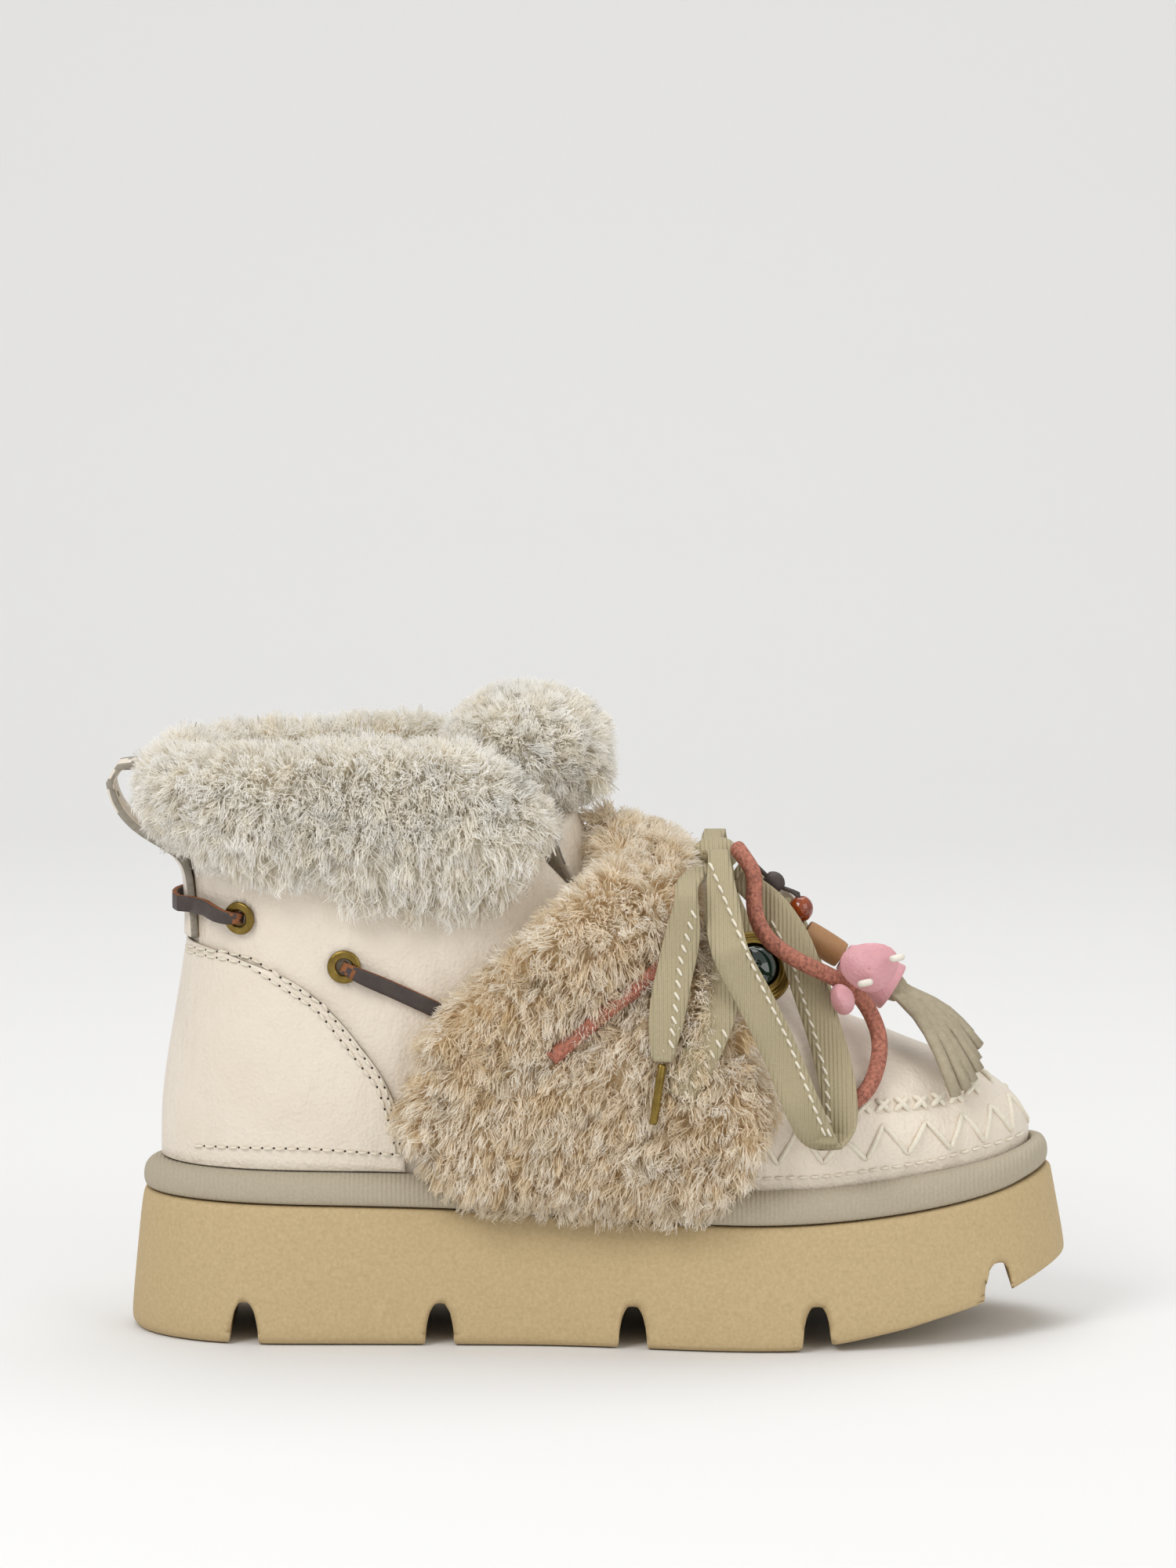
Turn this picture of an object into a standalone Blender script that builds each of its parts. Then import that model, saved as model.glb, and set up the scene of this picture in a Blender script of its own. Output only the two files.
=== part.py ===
"""Ankle boot with a fur collar, a fur pad over the instep and a tasselled bow, for the right foot.

Metres. +X is the toe, +Y the inner side, +Z up. The origin is on the floor under the centre of the
heel. Tables hold shares: x as a share of the sole's length from its back, widths as shares of the
ball width and heights as shares of the collar height, unless a heading says otherwise.
"""

import math

import bmesh
import bpy
import numpy as np
from mathutils import Vector
from mathutils.bvhtree import BVHTree

# Main sizes
SOLE_LENGTH = 0.282
BALL_WIDTH = 0.106
SOLE_HEIGHT = 0.0414
TOE_SPRING = 0.0207
COLLAR_HEIGHT = 0.168
HEEL_SHARE = 0.1773
TOE_TURN = 0.007

# Walls, gaps and bands
WALL = 0.0025
GAP = 0.00035
INSOLE_THICK = 0.0035
RAND_PROUD = 0.0081
COUNTER_THICK = 0.0015
STRAP_THICK = 0.0024
TONGUE_THICK = 0.0028
GROOVE_WIDTH = 0.0088
GROOVE_HEIGHT = 0.0124
CUFF_WIDTH = 0.031
CUFF_THICK = 0.0100
PAD_THICK = 0.0200
EYELET_RADIUS = 0.00525
EYELET_HOLE = 0.0026
THONG_WIDTH = 0.0048
THONG_THICK = 0.0016
LACE_WIDTH = 0.0107
LACE_THICK = 0.0014
CORD_RADIUS = 0.0027

# Columns of the last: how many along the toe, the sides and the heel of one half
TOE_COLUMNS, SIDE_COLUMNS, HEEL_COLUMNS = 8, 12, 6
TOE_FROM, HEEL_TO = 0.70, 0.16

# Top and bottom lines of the outsole: x share, height share of SOLE_HEIGHT or TOE_SPRING
SOLE_TOP = [(0.0, 1.0), (0.163, 0.990), (0.337, 0.966), (0.528, 0.906), (0.691, 0.884),
            (0.791, 0.920), (0.904, 1.012), (1.0, 1.190)]
SOLE_BOTTOM = [(0.0, 0.0), (0.69, 0.0), (0.738, 0.06), (0.794, 0.184), (0.840, 0.290),
               (0.901, 0.493), (0.936, 0.652), (1.0, 1.0)]
GROOVES = [0.128, 0.333, 0.535, 0.727, 0.920]

# Plan rings. Columns: back x, front x, half widths at heel, waist, outer ball, inner ball
SOLE_LOW_RING = (0.0, 1.0, 0.377, 0.387, 0.509, 0.481)
SOLE_HIGH_RING = (0.0142, 0.982, 0.347, 0.357, 0.475, 0.451)

# Rings of the upper from the feather line to the topline. Columns: the six above, then the rise
# towards the topline at the sides and at the toe
UPPER_RINGS = [
    (0.0443, 0.9500, 0.270, 0.280, 0.398, 0.374, 0.00, 0.00),
    (0.0410, 0.9610, 0.292, 0.302, 0.424, 0.404, 0.10, 0.17),
    (0.0408, 0.9500, 0.306, 0.316, 0.434, 0.416, 0.22, 0.30),
    (0.0530, 0.9010, 0.311, 0.321, 0.406, 0.392, 0.37, 0.455),
    (0.0630, 0.8300, 0.311, 0.326, 0.360, 0.350, 0.53, 0.555),
    (0.0735, 0.7480, 0.311, 0.330, 0.316, 0.311, 0.70, 0.68),
    (0.0655, 0.6670, 0.321, 0.335, 0.283, 0.278, 0.86, 0.845),
    (0.0496, 0.5957, 0.330, 0.340, 0.250, 0.245, 1.00, 1.00),
]
UPPER_ROWS = [0.0, 0.8, 1.5, 2.2, 2.9, 3.7, 4.7, 5.8, 7.0]

# Height of the topline: share along the ring from its back, height share
TOPLINE = [(0.0, 0.976), (0.17, 0.980), (0.36, 0.992), (0.52, 0.992), (0.62, 0.948),
           (0.70, 0.870), (0.752, 0.782), (0.803, 0.728), (0.90, 0.706), (1.0, 0.694)]

# Rand profile from its inner foot round the outside: outward and upward shares of its size
RAND_PROFILE = [(0.0, 0.0), (0.86, 0.0), (1.0, 0.2), (1.0, 0.58), (0.80, 0.88), (0.42, 1.0)]

# Heel counter: degrees round the heel from its back or x share, then height share of its edge
COUNTER_BACK = [(0.0, 0.696), (45.0, 0.690), (90.0, 0.648)]
COUNTER_SIDE = [(0.1773, 0.648), (0.2184, 0.597), (0.2543, 0.520), (0.2816, 0.458), (0.2972, 0.364)]

# Tongue from under the vamp to its top. Columns: x share, height share, half width share
TONGUE = [
    (0.6240, 0.631, 0.120), (0.5957, 0.665, 0.145), (0.5670, 0.708, 0.162), (0.5350, 0.762, 0.180),
    (0.5090, 0.821, 0.192), (0.4880, 0.884, 0.190), (0.4760, 0.929, 0.184), (0.4480, 0.9355, 0.140),
]
TONGUE_BOW = 0.0235
TONGUE_FUR = dict(x=0.4255, z=1.024, deep=0.0205, wide=0.0205, tall=0.0150, seat=0.9370)

# Cuff band: share from the heel to the front end, width and thickness shares, inner depth share
CUFF = [
    (0.00, 0.52, 0.95, 0.50), (0.13, 0.46, 0.95, 0.50), (0.27, 0.68, 1.00, 0.50),
    (0.42, 0.80, 1.00, 0.50), (0.52, 0.95, 1.00, 0.45), (0.66, 1.08, 1.05, 0.20),
    (0.82, 1.00, 1.05, 0.06), (0.92, 0.80, 0.95, 0.03), (1.00, 0.52, 0.62, 0.03),
]
CUFF_END = 0.447

# Fur pad over the instep. Columns: degrees from the top, x share of its rear and front edge, thickness
PAD = [
    (0, 0.500, 0.590, 1.00), (15, 0.504, 0.600, 0.96), (30, 0.500, 0.612, 0.88),
    (38, 0.466, 0.620, 0.84), (45, 0.416, 0.628, 0.80), (60, 0.344, 0.642, 0.76),
    (75, 0.322, 0.656, 0.74), (90, 0.306, 0.668, 0.74), (105, 0.303, 0.666, 0.70),
    (116, 0.322, 0.650, 0.60), (125, 0.362, 0.612, 0.42),
]
PAD_AXIS = 0.446
PAD_STATIONS = 23

# Backstay: how far up and half width, then its pull loop: how far back and up, all in metres
STRAP_ROWS = [(0, 0.0150), (0.007, 0.0135), (0.014, 0.0122), (0.0195, 0.0112)]
STRAP_LOOP = [(0, 0), (0.0036, 0.0056), (0.0088, 0.0094), (0.0155, 0.0140), (0.0208, 0.0205),
              (0.0222, 0.0262), (0.0198, 0.0302), (0.0155, 0.0304)]

# Eyelets: x share and height share
EYELETS = {"rear": (0.1259, 0.750), "front": (0.2340, 0.667)}
THONG_FRONT_END = (0.341, 0.584)


def x_at(share):
    return (share - HEEL_SHARE) * SOLE_LENGTH


def share_at(x):
    return x / SOLE_LENGTH + HEEL_SHARE


def curve(rows, at, column=1):
    """The value at each place, on a smooth curve that doesn't overshoot the table's rows."""
    table = np.array([[row[0], row[column]] for row in rows], float)
    xs, ys = table[:, 0], table[:, 1]
    step = np.diff(xs)
    slope = np.diff(ys) / step
    bend = np.zeros(len(xs))
    product = slope[:-1] * slope[1:]
    total = np.where(product > 0, slope[:-1] + slope[1:], 1.0)
    bend[1:-1] = np.where(product > 0, 2 * product / total, 0.0)
    bend[0], bend[-1] = slope[0], slope[-1]
    at = np.clip(np.asarray(at, float), xs[0], xs[-1])
    k = np.clip(np.searchsorted(xs, at, side="right") - 1, 0, len(step) - 1)
    t = (at - xs[k]) / step[k]
    return (
        (2 * t**3 - 3 * t**2 + 1) * ys[k]
        + (t**3 - 2 * t**2 + t) * step[k] * bend[k]
        + (3 * t**2 - 2 * t**3) * ys[k + 1]
        + (t**3 - t**2) * step[k] * bend[k + 1]
    )


def smooth(points, count, closed=False):
    """Points evenly spread along a smooth curve through the given ones."""
    pts = np.array(points, float)
    n = len(pts)
    fine = []
    for i in range(n if closed else n - 1):
        a, b, c, d = (
            (pts[(i - 1) % n], pts[i], pts[(i + 1) % n], pts[(i + 2) % n])
            if closed
            else (pts[max(i - 1, 0)], pts[i], pts[i + 1], pts[min(i + 2, n - 1)])
        )
        for t in np.linspace(0, 1, 12, endpoint=False):
            fine.append(
                0.5 * (2 * b + (c - a) * t + (2 * a - 5 * b + 4 * c - d) * t**2
                       + (3 * b - a - 3 * c + d) * t**3)
            )
    fine.append(pts[0] if closed else pts[-1])
    fine = np.array(fine)
    run = np.concatenate([[0], np.cumsum(np.linalg.norm(np.diff(fine, axis=0), axis=1))])
    at = np.linspace(0, run[-1], count, endpoint=not closed)
    return np.stack([np.interp(at, run, fine[:, k]) for k in range(3)], axis=1)


def unit(vectors):
    length = np.linalg.norm(vectors, axis=-1, keepdims=True)
    return vectors / np.where(length > 1e-12, length, 1)


def sole_top(x):
    return curve(SOLE_TOP, share_at(x)) * SOLE_HEIGHT


def sole_bottom(x):
    return curve(SOLE_BOTTOM, share_at(x)) * TOE_SPRING


def last_columns():
    """Share along a ring, rounding of its ends and side, from the toe tip round by the inner side."""
    half = []
    for k in range(TOE_COLUMNS):
        angle = math.pi / 2 * (1 - k / TOE_COLUMNS)
        half.append((TOE_FROM + (1 - TOE_FROM) * math.sin(angle), math.cos(angle)))
    for k in range(SIDE_COLUMNS):
        half.append((TOE_FROM + (HEEL_TO - TOE_FROM) * k / SIDE_COLUMNS, 1.0))
    for k in range(HEEL_COLUMNS + 1):
        angle = math.pi / 2 * k / HEEL_COLUMNS
        half.append((HEEL_TO * (1 - math.sin(angle)), math.cos(angle)))
    along = [(s, e, 1.0) for s, e in half] + [(s, e, -1.0) for s, e in half[-2:0:-1]]
    return np.array(along).T


ALONG, ROUND, SIDE = last_columns()
COLUMNS = len(ALONG)


def ring(back, front, heel, waist, ball_out, ball_in):
    """Plan of one ring: x and y of every column."""
    x = x_at(back + ALONG * (front - back))
    sides = []
    for ball in (ball_in, ball_out):
        rows = [(0, heel), (HEEL_TO, heel), (0.42, waist), (TOE_FROM, ball), (1, ball)]
        sides.append(curve(rows, ALONG) * BALL_WIDTH)
    turn = np.clip((share_at(x) - 0.55) / 0.45, 0, 1)
    shift = TOE_TURN * turn * turn * (3 - 2 * turn)
    return x, SIDE * ROUND * np.where(SIDE > 0, sides[0], sides[1]) + shift


def upper_ring(row):
    x, y = ring(*row[:6])
    foot = sole_top(ring(*UPPER_RINGS[0][:6])[0]) + GAP
    rise = curve([(0, row[6]), (0.60, row[6]), (0.90, row[7]), (1, row[7])], ALONG)
    top = curve(TOPLINE, ALONG) * COLLAR_HEIGHT
    return np.stack([x, y, foot + rise * (top - foot)], axis=1)


def upper_grid():
    """Outer face of the upper: rows from the feather line to the topline, each a closed ring."""
    rings = np.array([upper_ring(row) for row in UPPER_RINGS])
    rows = []
    for v in UPPER_ROWS:
        k = min(int(v), len(rings) - 2)
        t = v - k
        a, b, c, d = (rings[min(max(k + j, 0), len(rings) - 1)] for j in (-1, 0, 1, 2))
        rows.append(
            0.5 * (2 * b + (c - a) * t + (2 * a - 5 * b + 4 * c - d) * t**2
                   + (3 * b - a - 3 * c + d) * t**3)
        )
    return np.array(rows)


def grid_normals(grid):
    """Outward normals of a grid of closed rings that runs upwards."""
    around = np.roll(grid, -1, axis=1) - np.roll(grid, 1, axis=1)
    up = np.gradient(grid, axis=0)
    return unit(np.cross(around, up))


def clear_scene():
    for obj in list(bpy.data.objects):
        bpy.data.objects.remove(obj, do_unlink=True)


def material(name, colour, roughness, metallic=0.0):
    made = bpy.data.materials.new(name)
    made.use_nodes = True
    shader = made.node_tree.nodes["Principled BSDF"]
    shader.inputs["Base Color"].default_value = (*colour, 1.0)
    shader.inputs["Roughness"].default_value = roughness
    shader.inputs["Metallic"].default_value = metallic
    made.diffuse_color = (*colour, 1.0)
    return made


def add_mesh(name, points, faces, look, flat=False):
    """A named object with outward faces. Its creases over 40 degrees stay sharp."""
    mesh = bpy.data.meshes.new(name)
    mesh.from_pydata([tuple(map(float, p)) for p in points], [], [tuple(map(int, f)) for f in faces])
    work = bmesh.new()
    work.from_mesh(mesh)
    bmesh.ops.remove_doubles(work, verts=work.verts, dist=1e-6)
    bmesh.ops.recalc_face_normals(work, faces=work.faces)
    if work.calc_volume(signed=True) < 0:
        bmesh.ops.reverse_faces(work, faces=work.faces)
    for face in work.faces:
        face.smooth = not flat
    for edge in work.edges:
        edge.smooth = edge.calc_face_angle(0.0) < math.radians(40)
    work.to_mesh(mesh)
    work.free()
    obj = bpy.data.objects.new(name, mesh)
    bpy.context.scene.collection.objects.link(obj)
    if look:
        mesh.materials.append(look)
    return obj


def helper(obj):
    obj.hide_render = True
    obj.display_type = "WIRE"
    return obj


def boolean(obj, other, operation):
    cut = obj.modifiers.new(operation.lower(), "BOOLEAN")
    cut.object = helper(other)
    cut.operation = operation
    cut.solver = "EXACT"
    return cut


def strip_faces(rows, columns, closed, start=0, flip=False, split=False):
    """Faces between neighbouring rows of points, as quads or split along one diagonal."""
    faces = []
    for r in range(rows - 1):
        for c in range(columns if closed else columns - 1):
            a, b = start + r * columns + c, start + r * columns + (c + 1) % columns
            quad = (a, b, b + columns, a + columns)
            parts = [(a, b, b + columns), (a, b + columns, a + columns)] if split else [quad]
            faces += [part[::-1] if flip else part for part in parts]
    return faces


def loft(name, sections, look, closed=False):
    """A solid through closed sections, with flat ends or joined to its own start."""
    sections = np.array(sections)
    count, sides = sections.shape[:2]
    faces = strip_faces(count, sides, True, 0, False, True)
    if closed:
        last = (count - 1) * sides
        faces += [(last + c, last + (c + 1) % sides, (c + 1) % sides, c) for c in range(sides)]
    else:
        faces += [tuple(range(sides)), tuple(range((count - 1) * sides, count * sides))[::-1]]
    return add_mesh(name, sections.reshape(-1, 3), faces, look)


def sheet(name, low, high, look):
    """A solid between two grids of the same size, closed round its edge."""
    rows, columns = low.shape[:2]
    count = rows * columns
    faces = strip_faces(rows, columns, False, 0, False, True)
    faces += strip_faces(rows, columns, False, count, True, True)
    edge = [c for c in range(columns)]
    edge += [r * columns + columns - 1 for r in range(1, rows)]
    edge += [(rows - 1) * columns + c for c in range(columns - 2, -1, -1)]
    edge += [r * columns for r in range(rows - 2, 0, -1)]
    for a, b in zip(edge, edge[1:] + edge[:1]):
        faces.append((a, a + count, b + count, b))
    return add_mesh(name, np.concatenate([low.reshape(-1, 3), high.reshape(-1, 3)]), faces, look)


def tree_of(*grids):
    """A search tree of grids of points, each with a mark of whether its rows are closed rings."""
    points, faces = [], []
    for grid, closed in grids:
        rows, columns = grid.shape[:2]
        faces += strip_faces(rows, columns, closed, len(points), False, True)
        points += [Vector(p) for p in grid.reshape(-1, 3)]
    return BVHTree.FromPolygons(points, faces)


def on_split(a, b, d, e, u, v):
    """A point of a quad that is split from its first corner a to the far corner e."""
    return a + (b - a) * u + (e - b) * v if u >= v else a + (e - d) * u + (d - a) * v


def settle(base, push, tree, clearance, closed=False):
    """Moves a grid of contact points out along push until it stays this far off the tree."""
    rows, columns = base.shape[:2]
    lift = np.full((rows, columns), clearance)
    for _ in range(7):
        grid = base + push * lift[..., None]
        need = np.zeros((rows, columns))
        for r in range(rows - 1):
            for c in range(columns if closed else columns - 1):
                corners = [(r, c), (r, (c + 1) % columns), (r + 1, c), (r + 1, (c + 1) % columns)]
                a, b, d, e = (grid[k] for k in corners)
                for u in (0.0, 0.33, 0.67, 1.0):
                    for v in (0.0, 0.33, 0.67, 1.0):
                        p = on_split(a, b, d, e, u, v)
                        hit, normal, _, _ = tree.find_nearest(Vector(p))
                        off = (Vector(p) - hit).dot(normal)
                        if off < clearance:
                            for k in corners:
                                need[k] = max(need[k], 0.8 * (clearance - off))
        if need.max() < 1e-6:
            break
        lift += need
    return base + push * lift[..., None]


def lumps(a, b, size):
    """An uneven surface that is the same on every run."""
    return size * (math.sin(1.9 * a + 0.7 * b) * math.cos(1.3 * b - 0.8 * a)
                   + 0.6 * math.sin(3.7 * a - 2.3 * b))


def locks(name, roots, look=None):
    """Short pointed tufts as one helper mesh. Each root: place, direction, width, length."""
    points, faces = [], []
    for place, direction, width, length in roots:
        axis = Vector(direction).normalized()
        side = axis.orthogonal().normalized()
        other = axis.cross(side)
        start = len(points)
        for reach, wide in ((-0.45, 0.9), (0.25, 1.0)):
            for k in range(5):
                turn = 2 * math.pi * k / 5
                out = (side * math.cos(turn) + other * math.sin(turn)) * width * wide / 2
                points.append(Vector(place) + axis * length * reach + out)
        points.append(Vector(place) + axis * length)
        faces.append(tuple(start + k for k in range(5))[::-1])
        for k in range(5):
            n = (k + 1) % 5
            faces.append((start + k, start + n, start + 5 + n, start + 5 + k))
            faces.append((start + 5 + k, start + 5 + n, start + 10))
    return add_mesh(name, points, faces, look)


def lathe(name, profile, centre, axis, look, sides=14):
    """Turns a closed profile of (radius, height) round an axis."""
    axis = Vector(axis).normalized()
    side = axis.orthogonal().normalized()
    other = axis.cross(side)
    sections = []
    for k in range(sides):
        turn = 2 * math.pi * k / sides
        out = side * math.cos(turn) + other * math.sin(turn)
        sections.append([Vector(centre) + out * r + axis * h for r, h in profile])
    return loft(name, [[tuple(p) for p in s] for s in sections], look, closed=True)


def ribbon(name, path, facing, width, thick, look):
    """A flat band along a path. Facing holds its outward direction at each point."""
    path, facing = np.array(path), unit(np.array(facing, float))
    along = unit(np.gradient(path, axis=0))
    side = unit(np.cross(along, facing))
    out = unit(np.cross(side, along))
    width = np.broadcast_to(np.asarray(width, float), (len(path),))[:, None]
    corners = [path + side * width / 2 * a + out * thick / 2 * b
               for a, b in ((-1, -1), (-1, 1), (1, 1), (1, -1))]
    return loft(name, np.stack(corners, axis=1), look)


def tube(name, points, radius, look, resolution=2):
    """A round cord with capped ends."""
    data = bpy.data.curves.new(name, "CURVE")
    data.dimensions = "3D"
    data.bevel_depth = radius
    data.bevel_resolution = resolution
    data.use_fill_caps = True
    line = data.splines.new("POLY")
    line.points.add(len(points) - 1)
    for point, place in zip(line.points, points):
        point.co = (*map(float, place), 1.0)
    data.materials.append(look)
    obj = bpy.data.objects.new(name, data)
    bpy.context.scene.collection.objects.link(obj)
    return obj


# Bow and cords on the outer side. Columns: x share, height share, stand off the boot in metres,
# width share of a lace
END_ONE = [(0.5900, 0.802, 0.0135, 0.62), (0.5860, 0.736, 0.0080, 1), (0.5728, 0.637, 0.0065, 1),
           (0.5660, 0.560, 0.0058, 1), (0.5650, 0.525, 0.0058, 0.55)]
END_TWO = [(0.6280, 0.760, 0.0100, 0.8), (0.6300, 0.690, 0.0072, 1), (0.6240, 0.610, 0.0036, 1),
           (0.6050, 0.535, 0.0030, 1), (0.5830, 0.460, 0.0020, 0.9)]
LOOP_ONE = [(0.6250, 0.852, 0.0140, 0.60), (0.6316, 0.727, 0.0150, 1), (0.6589, 0.634, 0.0150, 1),
            (0.6837, 0.549, 0.0130, 1), (0.7053, 0.460, 0.0130, 1), (0.7243, 0.388, 0.0128, 1),
            (0.7360, 0.362, 0.0112, 1), (0.7500, 0.391, 0.0086, 1), (0.7467, 0.479, 0.0078, 1),
            (0.7326, 0.562, 0.0046, 1), (0.7202, 0.621, 0.0042, 1), (0.7078, 0.685, 0.0046, 1),
            (0.6920, 0.735, 0.0046, 1), (0.6720, 0.776, 0.0050, 0.9), (0.6460, 0.808, 0.0044, 0.6)]
CORD_LOOP = [(0.6420, 0.858, 0.0060), (0.6620, 0.826, 0.0080), (0.6620, 0.760, 0.0105),
             (0.6750, 0.715, 0.0115), (0.7003, 0.684, 0.0130), (0.7409, 0.647, 0.0135),
             (0.7740, 0.603, 0.0095), (0.7940, 0.535, 0.0050), (0.7900, 0.481, 0.0036),
             (0.7740, 0.441, 0.0033), (0.7480, 0.425, 0.0033)]
CORD_STRETCH = [(0.5900, 0.722, 0.0034), (0.5760, 0.696, 0.0033), (0.5530, 0.665, 0.0032),
                (0.5040, 0.600, 0.0032), (0.4500, 0.520, 0.0030)]
KNOT = dict(x=0.6235, z=0.842, y=0.0, long=0.0075, wide=0.0110, tall=0.0054)

# Charms on the bow, on one line beside the middle of the boot
CHARM_LINE = -0.0060
CHARM_CORD = [(0.6498, 0.842), (0.6620, 0.832)]
CHARM_CORD_RADIUS = 0.0008
AMBER = (0.7130, 0.748, 0.0042)
WOOD = (0.7365, 0.685, 0.0130, 0.0044)
SHELL = (0.6979, 0.748, 0.0062)
DARK_BEAD = (0.6844, 0.795, 0.0036)
CAP = (0.7580, 0.662, 0.8103, 0.607)
CAP_RADIUS = 0.0078
CAP_WALL = 0.0012
TASSEL_STRIPS = 7
TASSEL_WIDTH = 0.0036
TASSEL_NEAR = (0.8740, 0.432, -0.0290)
TASSEL_FAR = (0.8980, 0.520, -0.0020)
BROOCH = (0.6560, 0.627, 0.0120)
BROOCH_FACES = (0.22, -0.86, 0.46)


def surface_hit(tree, start, direction):
    hit, normal, _, _ = tree.ray_cast(Vector(start), Vector(direction).normalized())
    return (np.array(hit), np.array(normal)) if hit else (None, None)


def heel_hit(tree, place, z, side):
    """A point of the heel: degrees round from its back, or the x share of a straight side."""
    if place < 1.0:
        return surface_hit(tree, (x_at(place), side * 0.2, z), (0, -side, 0))
    turn = math.radians(place - 1.0)
    away = np.array([-math.cos(turn), side * math.sin(turn), 0.0])
    return surface_hit(tree, np.array([0, 0, z]) + away * 0.2, -away)


def ends_of(count):
    """Faces that close a ring of last columns from side to side."""
    faces = [(0, 1, count - 1)]
    for k in range(1, count // 2 - 1):
        faces.append((k, k + 1, count - k - 1, count - k))
    faces.append((count // 2 - 1, count // 2, count // 2 + 1))
    return faces


def stack(name, rows, look):
    """A solid of stacked rings of last columns, closed below and above."""
    rows = np.array(rows)
    count = rows.shape[1]
    faces = strip_faces(len(rows), count, True)
    last = (len(rows) - 1) * count
    faces += [f[::-1] for f in ends_of(count)]
    faces += [tuple(last + k for k in f) for f in ends_of(count)]
    return add_mesh(name, rows.reshape(-1, 3), faces, look)


def plan_normals(points):
    along = np.roll(points, -1, axis=0) - np.roll(points, 1, axis=0)
    return unit(np.cross(along * [1, 1, 0], [0, 0, 1.0]))


def build_outsole(look):
    low, high = ring(*SOLE_LOW_RING), ring(*SOLE_HIGH_RING)
    foot = np.stack([low[0], low[1], sole_bottom(low[0])], axis=1)
    head = np.stack([high[0], high[1], sole_top(high[0])], axis=1)
    out = plan_normals(foot)
    rows = [foot + (head - foot) * up - out * inset
            for up, inset in ((0, 0.0022), (0.035, 0.0007), (0.09, 0), (0.5, 0), (0.965, 0), (1, 0.0009))]
    sole = stack("outsole", rows, look)
    points, faces = [], []
    for share in GROOVES:
        x = float(x_at(share))
        floor = float(sole_bottom(x))
        tall = GROOVE_HEIGHT - 0.15 * floor
        half = GROOVE_WIDTH / 2
        shape = [(-half * 1.25, -0.012), (-half, 0.0), (-half * 0.86, tall * 0.45),
                 (-half * 0.66, tall * 0.80), (-half * 0.34, tall * 0.97), (0, tall),
                 (half * 0.34, tall * 0.97), (half * 0.66, tall * 0.80), (half * 0.86, tall * 0.45),
                 (half, 0.0), (half * 1.25, -0.012)]
        start, sides = len(points), len(shape)
        for y in (-0.09, 0.09):
            points += [(x + a, y, floor + b) for a, b in shape]
        faces += strip_faces(2, sides, True, start)
        faces.append(tuple(range(start, start + sides))[::-1])
        faces.append(tuple(range(start + sides, start + 2 * sides)))
    boolean(sole, add_mesh("groove_cutters", points, faces, None), "DIFFERENCE")


def build_upper(grid, normals, look):
    level = normals[0] * [1, 1, 0]
    inward = np.concatenate([unit(level)[None], normals[1:]])
    inner = grid - inward * WALL
    rows = len(grid)
    total = rows * COLUMNS
    faces = strip_faces(rows, COLUMNS, True, 0, False, True)
    faces += strip_faces(rows, COLUMNS, True, total, True, True)
    for row, flip in ((0, True), (rows - 1, False)):
        for c in range(COLUMNS):
            a, b = row * COLUMNS + c, row * COLUMNS + (c + 1) % COLUMNS
            quad = (a, b, b + total, a + total)
            faces.append(quad[::-1] if flip else quad)
    points = np.concatenate([grid.reshape(-1, 3), inner.reshape(-1, 3)])
    return add_mesh("upper", points, faces, look), inner


def build_rand(grid, look):
    foot, head = grid[0], grid[1]
    out = plan_normals(foot)
    lines = []
    for across, up in RAND_PROFILE:
        line = foot + out * (GAP + across * RAND_PROUD)
        line[:, 2] = sole_top(line[:, 0]) + GAP + up * (head[:, 2] - foot[:, 2])
        lines.append(line)
    line = head + out * GAP
    lines.append(line)
    loft("rand", np.stack(lines, axis=1), look, closed=True)
    return np.array(lines)


def build_tongue(look):
    rows = []
    spine = np.array([(x_at(r[0]), 0.0, r[1] * COLLAR_HEIGHT) for r in TONGUE])
    along = unit(np.gradient(spine, axis=0))
    front = np.stack([along[:, 2], along[:, 1], -along[:, 0]], axis=1)
    for k, row in enumerate(TONGUE):
        across = np.linspace(-1, 1, 7) * row[2] * BALL_WIDTH
        sag = TONGUE_BOW * 1000 * across**2
        rows.append([spine[k] - front[k] * s + [0, y, 0] for y, s in zip(across, sag)])
    face = np.array(rows)
    side = np.gradient(face, axis=1)
    up = np.gradient(face, axis=0)
    normals = unit(np.cross(side, up))
    sheet("tongue", face, face - normals * TONGUE_THICK, look)
    return face


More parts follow.
